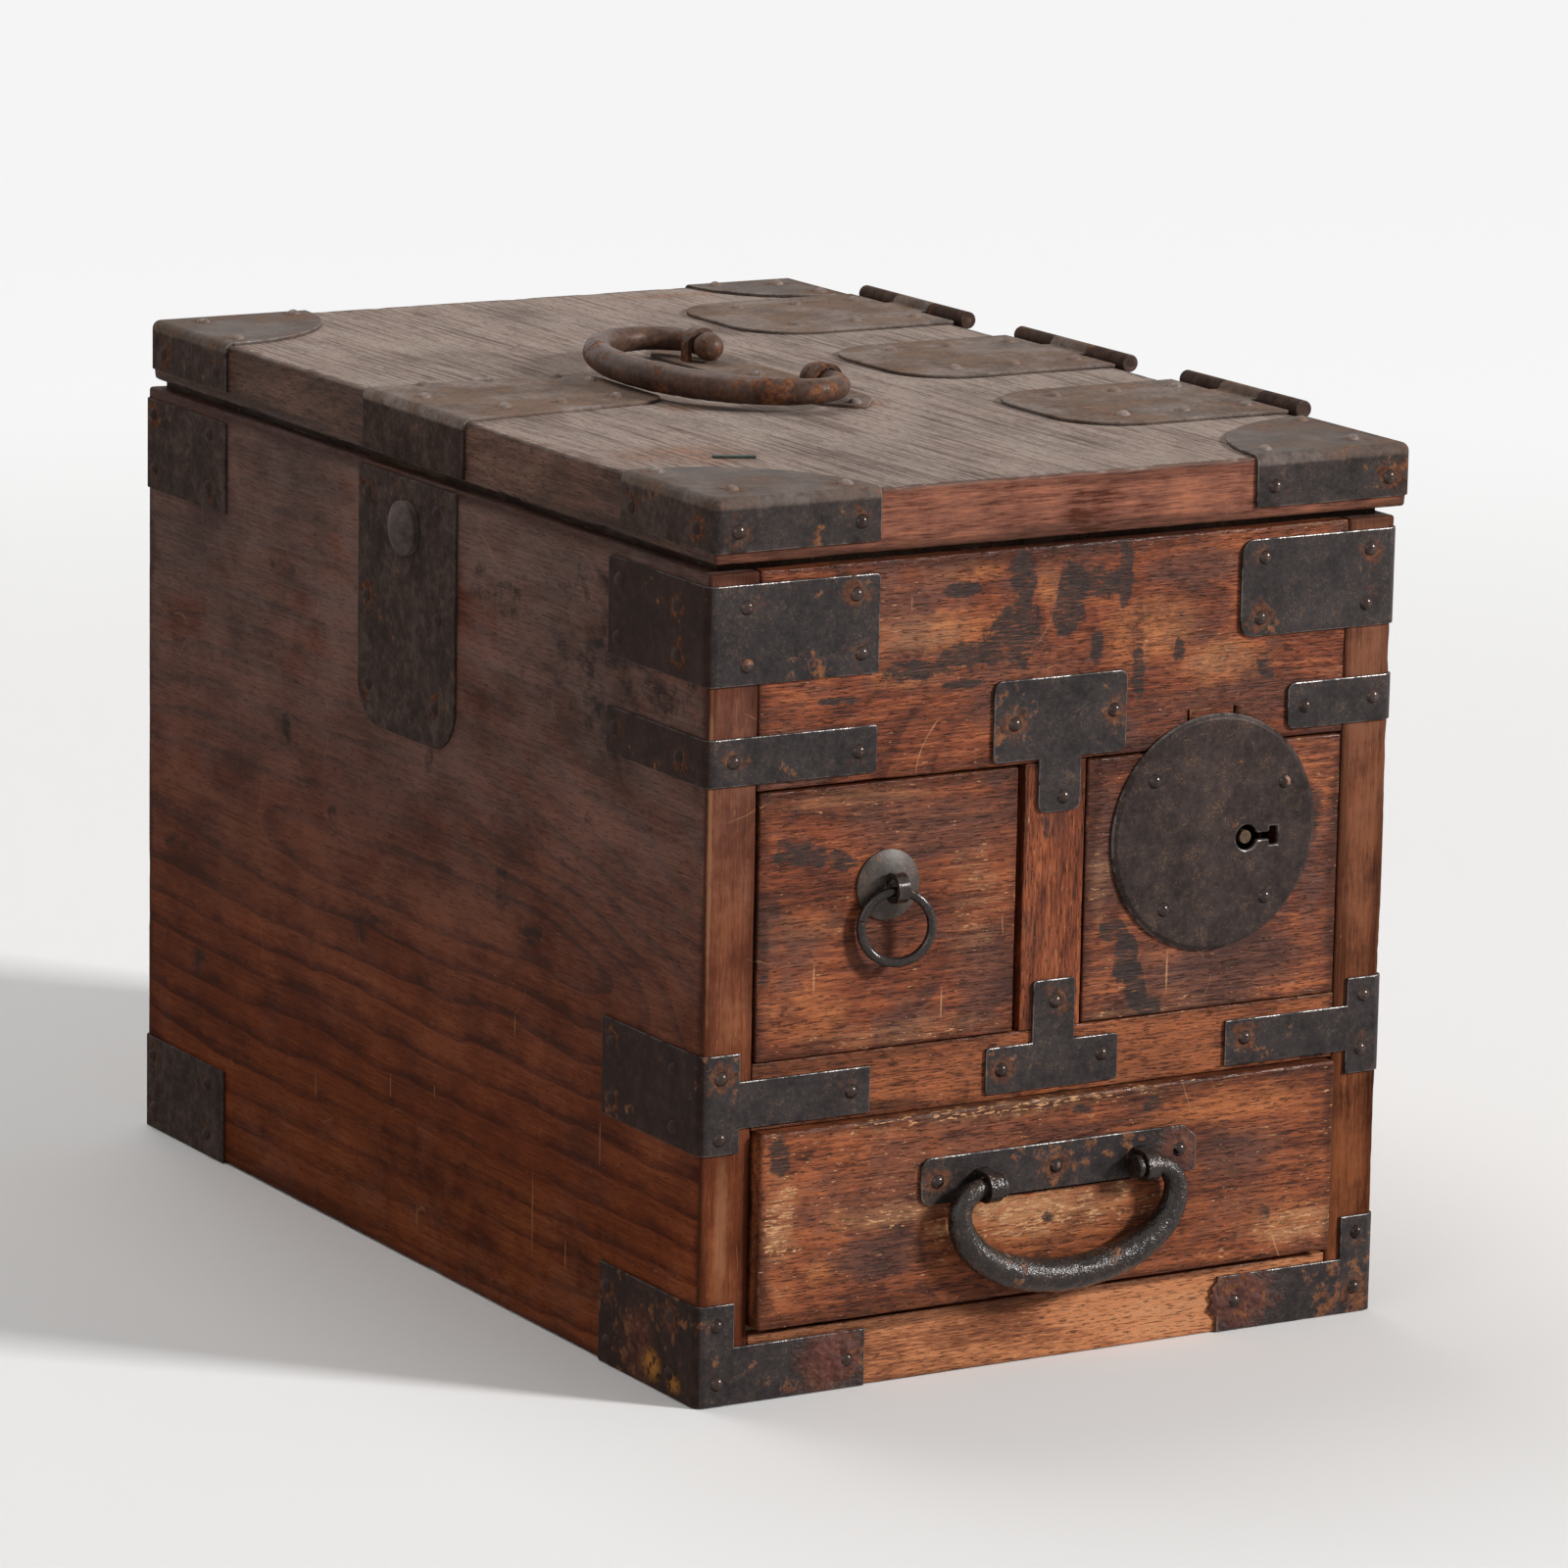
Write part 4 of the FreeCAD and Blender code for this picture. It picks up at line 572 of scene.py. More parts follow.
    def _flecks(self) -> Sock:
        """Lays pale streaks in the pale marks and works out the bare flecks.

        Returns:
            Mask of the flecks.
        """
        g, finish = self.graph, self.finish
        area = (self.blotch * 0.55 + self.broad * 0.45).step(0.48, 0.62) * 0.03
        pale = g.marks(self.place, self.ragged, self.board.stains.pale)
        if pale is not None:
            area = area.most(pale * 0.155)
            self._lay(pale.least(1.0) * self.streak.step(0.36, 0.60) * 0.62,
                      shade(finish.bare, 0.80))
        dashes = g.noise(g.vector("ADD", self._stretched(240.0, 1150.0), (7.7, 3.1, 5.3)), 1.0,
                         3.0, 0.6)
        first = 0.70 - 0.03 * finish.flecks
        fleck = (dashes + area).step(first, first + 0.035) * min(1.0, finish.flecks + 0.35)
        if finish.scratches:
            wander = g.noise(self.place, 15.0, 1.0, 0.3)
            slash = (wander - 0.5).math("ABSOLUTE").step(0.0022, 0.0006)
            few = g.noise(g.vector("ADD", self.place, (1.3, 0.4, 2.1)), 42.0, 3.0)
            fleck = fleck.most(slash * few.step(0.56, 0.66) * finish.scratches)
        return fleck

    def _wear(self, fleck: Sock) -> Sock:
        """Lays bare rims, flecks and nicks, with dirt just inside the rims.

        Args:
            fleck: Mask of the flecks.

        Returns:
            Mask of all bare wood.
        """
        g, finish = self.graph, self.finish
        rim = (self.edge + (self.ragged - 0.44) * 0.007).step(1.1 * MM, 0.2 * MM)
        rim = rim * (self.blotch + self.ragged).step(0.98, 1.20) * finish.rim
        grime = (self.edge + (self.broad - 0.5) * 0.02).step(finish.grime * MM, 0.0)
        grime = grime * (self.blotch * 1.3 - 0.1)
        self._lay(grime.most(0.0), shade(finish.deep, 0.3))
        worn = rim.most(fleck)
        nicks = g.marks(self.place, self.ragged, self.board.stains.nicks, 1.4)
        if nicks is not None:
            worn = worn.most(nicks * 0.6)
        self._lay(worn, finish.bare)
        return worn

    def _soot(self) -> Sock:
        """Lays soot in clouds and smudges, scratched through along the grain.

        Returns:
            Its mask.
        """
        g = self.graph
        cloud = g.noise(self._stretched(58.0, 95.0), 1.0, 5.0, 0.72) * 0.75 + self.fibre * 0.25
        smudge = g.marks(self.place, self.ragged * 0.5 + cloud * 0.5, self.board.stains.soot,
                         5.0)
        if smudge is not None:
            cloud = cloud + smudge * 0.29
        first = 0.62 - 0.05 * self.finish.soot
        soot = cloud.step(first, first + 0.15) * (self.fibre + self.ragged * 0.6).step(1.08, 0.80)
        self._lay(soot * 0.88, SOOT_BLACK)
        return soot

    def _dust(self) -> Sock:
        """Lays dust on the top face, less on reddish places and wiped off near the edges.

        Returns:
            Its mask.
        """
        top = float(self.high[2])
        up = self.parts[2].step(top - 1.1 * MM, top - 0.3 * MM)
        film = (self.blotch * 0.35 + self.streak * 0.65).step(0.34, 0.58)
        film = film * (1.0 - self.pore * 0.5)
        dusty = (film * 0.85 + 0.15) * up * self.finish.dust
        if self.warm is not None:
            dusty = dusty * (1.0 - self.warm.least(1.0) * 0.6)
        wiped = (self.edge + (self.ragged - 0.5) * 0.016).step(3.6 * MM, 1.6 * MM)
        dusty = dusty * (1.0 - wiped * 0.75)
        self._lay(dusty, LID_DUST)
        return dusty

    def material(self) -> bpy.types.Material:
        """Lays the layers in order and sets the shine and relief that go with them.

        Returns:
            The material.
        """
        self._timber()
        self._veil()
        fleck = self._flecks()
        worn = self._wear(fleck)
        soot = self._soot()
        polish = self.edge.step(2.6 * MM, 0.4 * MM) * self.ragged.step(0.42, 0.56)
        rough = (self.finish.gloss + fleck * 0.2 + self.fibre * 0.16 + soot * 0.06
                 - polish * 0.24)
        if self.finish.dust:
            rough = rough + self._dust() * 0.5
        height = (self.fibre * 0.45 + self.streak * 0.5 + self.ragged * 0.55 - self.pore * 0.4
                  - self.line * 0.1 - worn * 0.12)
        return self.graph.finish(Base_Color=self.colour, Roughness=rough, IOR=1.45,
                                 Specular_IOR_Level=self.finish.shine,
                                 Normal=self.graph.bump(height, self.finish.relief * MM))


@dataclass(frozen=True)
class Iron:
    """Blackened iron.

    body and flank are its colours on the front and on the chest's dirtier sides.  rust,
    specks, pits, dust and metal are shares, as is the share of the eased edges that is worn
    bare and painted light as a highlight.  gloss is the roughness and shine the reflection's
    strength.
    """

    body: Triple = (0.0290, 0.0226, 0.0222)
    flank: Triple = (0.0250, 0.0115, 0.0080)
    slot: str = "plate_iron"
    rust: float = 0.35
    specks: float = 0.45
    pits: float = 1.0
    gloss: float = 0.36
    dust: float = 0.0
    metal: float = 0.1
    bright: float = 0.8
    shine: float = 0.19


class IronPaint:
    """The layers of one iron piece's material, from the scale up to the dust."""

    def __init__(self, finish: Iron, name: str, seed: float) -> None:
        """Works out the noises that the layers share.

        Args:
            finish: The piece's finish.
            name: The material's name.
            seed: Moves the pattern.
        """
        self.finish = finish
        self.graph = g = Graph(name)
        self.place = g.place()
        self.parts = g.split(self.place)
        moved = g.vector("ADD", self.place, (seed, seed * 0.7, seed * 0.3))
        self.scale = g.noise(moved, 60.0, 4.0, 0.65)
        self.fine = g.noise(moved, 520.0, 3.0, 0.6)
        self.ragged = g.noise(moved, 190.0, 4.0, 0.68)
        self.patch = g.noise(moved, 36.0, 4.0, 0.62)
        self.grit = g.noise(moved, 1300.0, 2.0, 0.6)
        self.flank = self.parts[0].math("ABSOLUTE").step(*FLANK)

    def _scale_colour(self) -> Sock:
        """Mottled scale with its ochre specks, duller on the flanks.

        Returns:
            Its colour.
        """
        g, finish = self.graph, self.finish
        body = g.ramp(self.scale * 0.9 + self.fine * 0.7 + self.ragged * 0.5 - 0.55,
                      (0.22, shade(finish.body, 0.42)), (0.5, finish.body),
                      (0.78, shade(finish.body, 1.65)))
        spot = (self.grit * 0.6 + self.ragged * 0.4).step(0.545, 0.63)
        spot = spot * (self.scale * 2.0 - 0.3).most(0.0)
        body = g.mix(spot * finish.specks, body, IRON_SPECK)
        dull = g.ramp(self.scale * 0.6 + self.ragged * 0.9 + self.fine * 0.4 - 0.45,
                      (0.30, shade(finish.flank, 0.60)), (0.5, finish.flank),
                      (0.72, shade(finish.flank, 1.75)))
        return g.mix(self.flank * 0.85, body, dull)

    def _rust(self, nails: Sequence[Triple]) -> Sock:
        """Rust in patches and round the nails.

        Args:
            nails: Middles of the nails, in metres.

        Returns:
            Its mask.
        """
        rust = (self.ragged * 0.5 + self.patch * 0.5).step(0.625 - 0.10 * self.finish.rust,
                                                           0.655 - 0.07 * self.finish.rust)
        if nails:
            halo = self.graph.nearest(self.place, nails) + (self.ragged - 0.5) * 0.022
            rust = rust.most(halo.step(6.0 * MM, 3.2 * MM) * self.patch.step(0.46, 0.56))
        return rust

    def _dusted(self, colour: Sock, top: float) -> tuple[Sock, Sock]:
        """Rusty dust on the faces near the top.

        Args:
            colour: Colour so far.
            top: Height of the piece's top.

        Returns:
            The colour and the mask of the dust.
        """
        g, level = self.graph, top - 3.6 * MM
        up = self.parts[2].step(level - 0.9 * MM, level + 0.6 * MM)
        film = (self.scale * 0.4 + self.patch * 0.3 + self.fine * 0.3).step(0.36, 0.60)
        film = (film * 0.65 + 0.35) * self.finish.dust * up
        return g.mix(film, colour, g.mix(self.patch.step(0.40, 0.58), *PLATE_DUST)), film

    def material(self, top: float = 0.0, nails: Sequence[Triple] = (),
                 scabs: tuple[Mark, ...] = (),
                 ochre: tuple[Mark, ...] = ()) -> bpy.types.Material:
        """Lays one layer over the other.

        Args:
            top: Height of the piece's top, where dust may lie.
            nails: Middles of the nails through the piece, in metres.
            scabs: Places of thick dark red rust.
            ochre: Places of yellow rust.

        Returns:
            The material.
        """
        g, finish = self.graph, self.finish
        rust = self._rust(nails)
        colour = g.mix(rust * 0.85, self._scale_colour(),
                       g.ramp(self.ragged * 0.5 + self.fine * 0.5, *RUST_STOPS))
        height = (self.scale * 0.5 + self.fine * 0.3 + self.ragged * 0.25 + self.grit * 0.3
                  + rust * 0.25)
        scab = g.marks(self.place, self.ragged, scabs)
        if scab is not None:
            colour = g.mix(scab, colour,
                           g.ramp(self.ragged * 0.7 + self.fine * 0.3, *SCAB_STOPS))
            height = height + scab * (self.ragged * 3.0 + 0.3)
            rust = rust.most(scab * 0.6)
        yellow = g.marks(self.place, self.ragged, ochre)
        if yellow is not None:
            colour = g.mix(yellow * self.ragged.step(0.40, 0.55), colour, OCHRE_RUST)
            rust = rust.most(yellow)
        edge = g.node("ShaderNodeAttribute", {"attribute_name": "edge"}, {}, "Fac")
        # Eased edges: partly worn bare iron, partly a painted highlight for their glints; lighter
        # grey, less rough, more metal.
        bare_edge_and_glint = edge * (self.scale * 0.5 + self.ragged * 0.5).step(0.43, 0.54) * finish.bright
        bare_edge_and_glint = bare_edge_and_glint * (1.0 - self.flank * 0.6)
        colour = g.mix(bare_edge_and_glint, colour, BARE_EDGE_IRON_AND_GLINT)
        rough = (finish.gloss + rust * 0.4 + self.fine * 0.12 + self.flank * 0.45
                 - bare_edge_and_glint * 0.19)
        metal = (finish.metal * (1.0 - self.flank) + bare_edge_and_glint * 0.5) * (1.0 - rust)
        if finish.dust:
            colour, film = self._dusted(colour, top)
            rough = rough + film * 0.6
            metal = metal * (1.0 - film)
        return g.finish(Base_Color=colour, Metallic=metal.most(0.0), Roughness=rough,
                        Specular_IOR_Level=finish.shine,
                        Normal=g.bump(height, 0.35 * MM * finish.pits))


FRONT_WOOD = Wood((0.072, 0.019, 0.009), (0.195, 0.050, 0.0205), (0.38, 0.115, 0.043),
                  (0.56, 0.295, 0.145), "front_wood")
STILE_WOOD = replace(FRONT_WOOD, deep=(0.052, 0.015, 0.007), body=(0.130, 0.0345, 0.0145),
                     light=(0.26, 0.086, 0.034), soot=0.2, filmy=0.4)
# Side wood: its pale film towards the top is a painted sheen; the real reflection is nearly off.
SIDE_WOOD = Wood((0.054, 0.0110, 0.004), (0.136, 0.0300, 0.0085), (0.235, 0.060, 0.019),
                 (0.34, 0.165, 0.085), "side_wood", film=(0.152, 0.100, 0.085), filmy=0.1,
                 painted_sheen=0.85, figure=0.50, rings=0.42, ring=12.0, pores=0.38, coarse=1.15,
                 flecks=0.2, scratches=0.45, soot=0.6, rim=0.5, gloss=0.46, relief=0.25,
                 shine=0.03)
LID_WOOD = Wood((0.060, 0.030, 0.021), (0.135, 0.070, 0.048), (0.21, 0.115, 0.080),
                (0.34, 0.20, 0.13), "lid_wood", film=(0.085, 0.055, 0.046), filmy=0.3,
                rings=0.2, ring=7.0, pores=0.6, flecks=0.1, scratches=0.3, soot=0.3, rim=0.6,
                dust=0.8, gloss=0.48, relief=0.4, shine=0.08)
INNER_WOOD = Wood((0.17, 0.095, 0.050), (0.33, 0.205, 0.115), (0.46, 0.32, 0.195),
                  (0.55, 0.40, 0.26), "inner_wood", film=(0.20, 0.13, 0.08), filmy=0.3,
                  rings=0.25, ring=6.0, pores=0.4, flecks=0.1, scratches=0.0, soot=0.0,
                  rim=0.2, gloss=0.55, relief=0.15, shine=0.06)
# Painted shade: a dark copy of the inner wood for the rim strips and lid battens, which sit in
# the shaded gap and under the lid.
RIM_WOOD_PAINTED_SHADE = replace(INNER_WOOD, deep=(0.020, 0.010, 0.007), body=(0.045, 0.022, 0.014),
                   light=(0.085, 0.045, 0.028))
PLATE = Iron()
SIDE_PLATE = Iron(body=(0.036, 0.0205, 0.0160), flank=(0.061, 0.0430, 0.0370), rust=0.2,
                  specks=0.3, bright=0.3, metal=0.0, shine=0.05)
LID_PLATE = Iron(body=(0.046, 0.034, 0.029), flank=(0.054, 0.0360, 0.0300), rust=0.45,
                 specks=0.5, dust=0.7, bright=0.6, gloss=0.52, shine=0.06)
HINGE_IRON = Iron(body=(0.062, 0.037, 0.029), flank=(0.062, 0.037, 0.029), rust=0.7, metal=0.0,
                  shine=0.10)
FOOT_PLATE = Iron(rust=0.95)
LOCK_PLATE = Iron(body=(0.0365, 0.0250, 0.0225), slot="lock_iron", rust=0.0, specks=0.8,
                  pits=0.5, bright=0.5, shine=0.14)
HANDLE_IRON = Iron(body=(0.021, 0.0140, 0.0118), slot="handle_iron", rust=0.4, specks=0.8,
                   pits=2.6, gloss=0.13, metal=0.15, shine=0.45)
CRUST = Iron(body=(0.085, 0.028, 0.020), rust=1.0, specks=0.0, pits=1.6, gloss=0.6,
             metal=0.0, shine=0.25)
LID_HANDLE_IRON = Iron(body=(0.088, 0.049, 0.035), slot="handle_iron", rust=1.0, specks=0.4,
                       pits=0.7, gloss=0.36, shine=0.14)
NAIL_IRON = Iron(body=(0.055, 0.038, 0.033), slot="nail_iron", rust=0.2, specks=0.2, pits=0.3,
                 gloss=0.16, metal=0.6)


# ---------------------------------------------------------------- meshes
def lattice_noise(points: np.ndarray, cell: float, seed: int) -> np.ndarray:
    """Smooth random field between -1 and 1.

    Random values sit on a cubic lattice; between them the field is their mean, weighted
    with f(t) = 3 t^2 - 2 t^3 along each axis.

    Args:
        points: Rows of x, y, z.
        cell: Lattice spacing.
        seed: Seed of the values.

    Returns:
        One value for each row.
    """
    size = 48
    table = np.random.default_rng(seed).uniform(-1.0, 1.0, (size, size, size))
    scaled = points / cell
    base = np.floor(scaled).astype(int)
    part = scaled - base
    part = part * part * (3.0 - 2.0 * part)
    total = np.zeros(len(points))
    for corner in product((0, 1), repeat=3):
        weight = np.prod(np.where(np.array(corner) == 1, part, 1.0 - part), axis=-1)
        spot = (base + np.array(corner)) % size
        total += weight * table[spot[:, 0], spot[:, 1], spot[:, 2]]
    return total


def layered_noise(points: np.ndarray, seed: int, *layers: tuple[float, float]) -> np.ndarray:
    """Sum of lattice noises.

    Args:
        points: Rows of x, y, z.
        seed: Seed of the first; each next one's is one more.
        layers: Share and lattice spacing of each.

    Returns:
        One value for each row.
    """
    return sum(share * lattice_noise(points, cell, seed + count)
               for count, (share, cell) in enumerate(layers))


def new_piece(name: str, points: np.ndarray, faces: np.ndarray,
              weld: bool = False) -> bpy.types.Object:
    """A smooth mesh object at the origin, from points in metres and quads.

    Args:
        name: The piece's name.
        points: Rows of x, y, z.
        faces: Rows of four point indices.
        weld: Whether points that share a place are merged.

    Returns:
        The object.
    """
    mesh = bpy.data.meshes.new(name)
    mesh.from_pydata(points.tolist(), [], faces.tolist())
    mesh.shade_smooth()
    piece = bpy.data.objects.new(name, mesh)
    bpy.context.scene.collection.objects.link(piece)
    if weld:
        piece.modifiers.new("weld", "WELD").merge_threshold = WELD
    return piece


def grid_faces(rows: int, columns: int, closed: bool = False) -> np.ndarray:
    """Quads of a grid of points.

    Args:
        rows: Number of rows.
        columns: Number of columns.
        closed: Whether the last column joins the first.

    Returns:
        Rows of four point indices.
    """
    last = columns if closed else columns - 1
    i, j = np.meshgrid(np.arange(rows - 1), np.arange(last), indexing="ij")
    k = (j + 1) % columns
    return np.stack([i * columns + j, i * columns + k, (i + 1) * columns + k,
                     (i + 1) * columns + j], axis=-1).reshape(-1, 4)


def worn_box(name: str, low: np.ndarray, high: np.ndarray, rounding: float, wear: float,
             seed: int, spacing: float = 2.6 * MM) -> bpy.types.Object:
    """A board whose edges are rounded by use, more in some places than in others.

    Each face is a grid over its two axes.  A grid point q is drawn to the box that lies r
    inside the faces: with c the nearest point of that box, the surface point is
    c + r (q - c) / |q - c|, and r = rounding + wear n(q)^2 where the noise n is above 0.
    The flats waver by a tenth of a millimetre, always inwards.

    Args:
        name: The piece's name.
        low: The board's lowest corner.
        high: Its highest corner.
        rounding: Least radius of the edges.
        wear: What the worst wear adds to it.
        seed: Seed of the wear.
        spacing: Distance between grid lines.

    Returns:
        The object.
    """
    most = rounding + wear
    points, faces, start = [], [], 0
    for axis, sign in product(range(3), (0, 1)):
        u, v = (k for k in range(3) if k != axis)
        lines = []
        for k in (u, v):
            reach = min(most, 0.45 * (high[k] - low[k]))
            bend = reach * (1.0 - np.tan(np.linspace(np.pi / 4, 0.0, 6)))
            count = max(2, int((high[k] - low[k] - 2 * reach) / spacing))
            flat = np.linspace(low[k] + reach, high[k] - reach, count)
            lines.append(np.concatenate([low[k] + bend[:-1], flat, high[k] - bend[-2::-1]]))
        a, b = np.meshgrid(*lines, indexing="ij")
        grid = np.empty((*a.shape, 3))
        grid[..., u], grid[..., v] = a, b
        grid[..., axis] = (low, high)[sign][axis]
        points.append(grid.reshape(-1, 3))
        quads = grid_faces(*a.shape) + start
        outward = (sign == 1) == (axis != 1)
        faces.append(quads[:, ::-1] if outward else quads)
        start += a.size
    q = np.concatenate(points)
    q, back = np.unique(np.round(q, 8), axis=0, return_inverse=True)
    quads = back.reshape(-1)[np.concatenate(faces)]
    rough = layered_noise(q, seed, (0.62, 17 * MM), (0.38, 5.3 * MM), (0.2, 2.6 * MM))
    r = (rounding + wear * np.clip(rough, 0.0, 1.0) ** 1.5)[:, None]
    r = np.minimum(r, 0.45 * np.min(high - low))
    c = np.clip(q, low + r, high - r)
    way = (q - c) / np.linalg.norm(q - c, axis=1)[:, None]
    waver = (0.5 + 0.5 * lattice_noise(q, 26 * MM, seed + 3)) * 0.16 * MM
    return new_piece(name, c + way * (r - waver[:, None]), quads)


def crust(name: str, middle: Triple, half: tuple[float, float], thick: float,
          seed: int) -> bpy.types.Object:
    """A lump of rust on an upright plate that faces -Y.

    Rings run from the middle of the back, out to the rim at s = 1 and on to the middle of
    the front.  A point is middle + s f(v) (a cos v, 0, b sin v), with f between 0.75 and 1;
    on the front it stands out by thick sqrt(1 - s^2) (0.55 + 0.45 n), n being noise.

    Args:
        name: The piece's name.
        middle: Middle of its back.
        half: Half its width and half its height.
        thick: Greatest height above the back.
        seed: Seed of its shape.

    Returns:
        The object.
    """
    s = np.concatenate([[0.0, 0.5], np.sin(np.linspace(np.pi / 2, 0.0, 26))])
    front = (np.arange(len(s)) > 1)[:, None]
    v = np.linspace(0.0, 2.0 * np.pi, 120, endpoint=False)
    ring = np.stack([np.cos(v), 0.0 * v, np.sin(v)], axis=-1)
    rim = layered_noise(ring + 9.0, seed, (1.0, 0.32), (0.6, 0.13))
    edge = 0.875 + 0.125 * np.clip(rim, -1, 1)
    flat = np.array([half[0], 0.0, half[1]]) * ring * edge[:, None]
    points = np.array(middle) + s[:, None, None] * flat
    lump = layered_noise(points.reshape(-1, 3), seed + 2, (1.0, 3.4 * MM), (0.7, 1.3 * MM))
    lump = 0.55 + 0.45 * np.clip(lump, -1.0, 1.0).reshape(len(s), len(v))
    points[..., 1] -= front * thick * np.sqrt(1.0 - np.minimum(s, 1.0) ** 2)[:, None] * lump
    return new_piece(name, points.reshape(-1, 3), grid_faces(len(s), len(v), True), True)


def cut_boxes(piece: bpy.types.Object, boxes: Sequence[tuple[Triple, Triple]]) -> None:
    """Cuts boxes out of a piece.

    Args:
        piece: The piece.
        boxes: Lowest and highest corner of each, in millimetres.
    """
    for low, high in boxes:
        first, last = Vector(low) * MM, Vector(high) * MM
        shell = bmesh.new()
        bmesh.ops.create_cube(shell, size=1.0, matrix=Matrix.LocRotScale(
            (first + last) / 2.0, None, last - first))
        block = bpy.data.meshes.new("cutter")
        shell.to_mesh(block)
        shell.free()
        cutter = bpy.data.objects.new("cutter", block)
        bpy.context.scene.collection.objects.link(cutter)
        cut = piece.modifiers.new("cut", "BOOLEAN")
        cut.object = cutter
        cut.solver = "MANIFOLD"
        graph = bpy.context.evaluated_depsgraph_get()
        mesh = bpy.data.meshes.new_from_object(piece.evaluated_get(graph))
        piece.modifiers.clear()
        piece.data = mesh
        bpy.data.objects.remove(cutter)


def forged_bar(name: str, path: np.ndarray, radius: np.ndarray, up: Triple, rough: float,
               seed: int, around: int = 44) -> bpy.types.Object:
    """A forged bar along a plane path.

    A point is path(u) + r (cos v side(u) + sin v up), with side the path's normal in its
    plane and up the plane's own normal.  r is radius(u) less up to rough of it, where hammer
    marks of 7, 2.9 and 1.4 mm lie.

    Args:
        name: The piece's name.
        path: Rows of points along the bar.
        radius: Radius at each; 0 at both ends.
        up: Normal of the path's plane.
        rough: Depth of the hammer marks as a share of the radius.
        seed: Seed of the marks.
        around: Points round the bar.

    Returns:
        The object.
    """
    run = np.gradient(path, axis=0)
    run /= np.linalg.norm(run, axis=1)[:, None]
    side = np.cross(run, up)
    v = np.linspace(0.0, 2.0 * np.pi, around, endpoint=False)
    round_ = (np.cos(v)[:, None] * side[:, None, :] + np.sin(v)[:, None] * np.array(up))
    skin = (path[:, None, :] + radius[:, None, None] * round_).reshape(-1, 3)
    marks = layered_noise(skin, seed, (0.35, 7 * MM), (0.45, 2.9 * MM), (0.45, 1.4 * MM))
    share = 1.0 - rough * (0.5 - 0.5 * np.clip(marks, -1.0, 1.0))
    points = path[:, None, :] + (radius[:, None] * share.reshape(len(path), around)
                                 )[..., None] * round_
    quads = grid_faces(len(path), around, True)[:, ::-1]
    return new_piece(name, points.reshape(-1, 3), quads, True)


def eased(node: str, width: float, sharp: float = 0.61) -> bpy.types.Object:
    """A copy of a CAD piece with its sharp edges eased to a quarter round.

    The copy's doubled points are merged, then its sharp edges are bevelled.  The bevelled
    strips have the attribute edge at 1, the rest of the piece has it at 0.

    Args:
        node: The CAD piece.
        width: Width of the bevel.
        sharp: Angle between an edge's faces, in radians, above which it is bevelled.

    Returns:
        The object.
    """
    shell = bmesh.new()
    shell.from_mesh(frame["nodes"][node].data)
    bmesh.ops.remove_doubles(shell, verts=shell.verts, dist=WELD)
    edges = [e for e in shell.edges if e.is_manifold and e.calc_face_angle(0.0) > sharp]
    bmesh.ops.bevel(shell, geom=edges, offset=width, segments=2, profile=0.5, affect="EDGES",
                    material=1)
    mesh = bpy.data.meshes.new(f"eased_{node}")
    shell.to_mesh(mesh)
    shell.free()
    strip = np.empty(len(mesh.polygons), dtype=np.int32)
    mesh.polygons.foreach_get("material_index", strip)
    mesh.attributes.new("edge", "FLOAT", "FACE").data.foreach_set("value", strip.astype(float))
    mesh.polygons.foreach_set("material_index", np.zeros_like(strip))
    piece = bpy.data.objects.new(f"eased_{node}", mesh)
    bpy.context.scene.collection.objects.link(piece)
    return piece


def dress(piece: bpy.types.Object, material: bpy.types.Material) -> None:
    """Makes a material the only one of a piece."""
    piece.data.materials.clear()
    piece.data.materials.append(material)


# ---------------------------------------------------------------- sub-assemblies
def marks_on(axis: int, level: float, *rows: tuple[float, ...],
             strength: float = 1.0, sink: float = 6.0) -> tuple[Mark, ...]:
    """Marks on a flat face square to an axis.

    Args:
        axis: 0 for a face square to X, 1 for one square to Y.
        level: The face's place on that axis.
        rows: For each mark its middle on the two other axes, its reaches along them and,
            where it isn't the common one, its strength.
        strength: The common strength.
        sink: How deep they go.

    Returns:
        The marks.
    """
    made = []
    for first, second, wide, tall, *own in rows:
        centre, reach = [first, second], [wide, tall]
        centre.insert(axis, level)
        reach.insert(axis, sink)
        made.append(Mark(tuple(centre), tuple(reach), *(own or [strength])))
    return tuple(made)


def put_in(piece: bpy.types.Object, node: str) -> None:
    """Puts a piece in a CAD node's place.

    Args:
        piece: The piece.
        node: The node, whose body the piece rides on.
    """
    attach(piece, BODY_OF[node])
    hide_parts(node)


@dataclass
class Board:
    """One board. It keeps its CAD shape, or gets worn edges as a new surface.

    worn holds the edges' least radius and what the worst wear adds, in millimetres; cuts
    are boxes cut out of the worn board.
    """

    node: str
    finish: Wood
    grain: Grain
    seed: float
    worn: tuple[float, float] = (0.0, 0.0)
    stains: Stains = Stains()
    ends: Optional[Wood] = None
    cuts: Sequence[tuple[Triple, Triple]] = ()

    def build(self) -> None:
        """Makes and dresses the board."""
        low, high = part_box(self.node)
        low, high = np.array(low), np.array(high)
        material = BoardPaint(self, low, high).material()
        if not any(self.worn):
            dress(frame["nodes"][self.node], material)
            LOG.info("dressed %s", self.node)
            return
        rounding, wear = (size * MM for size in self.worn)
        piece = worn_box(f"worn_{self.node}", low, high, rounding, wear, int(self.seed * 100))
        cut_boxes(piece, self.cuts)
        dress(piece, material)
        put_in(piece, self.node)
        LOG.info("built %s", piece.name)


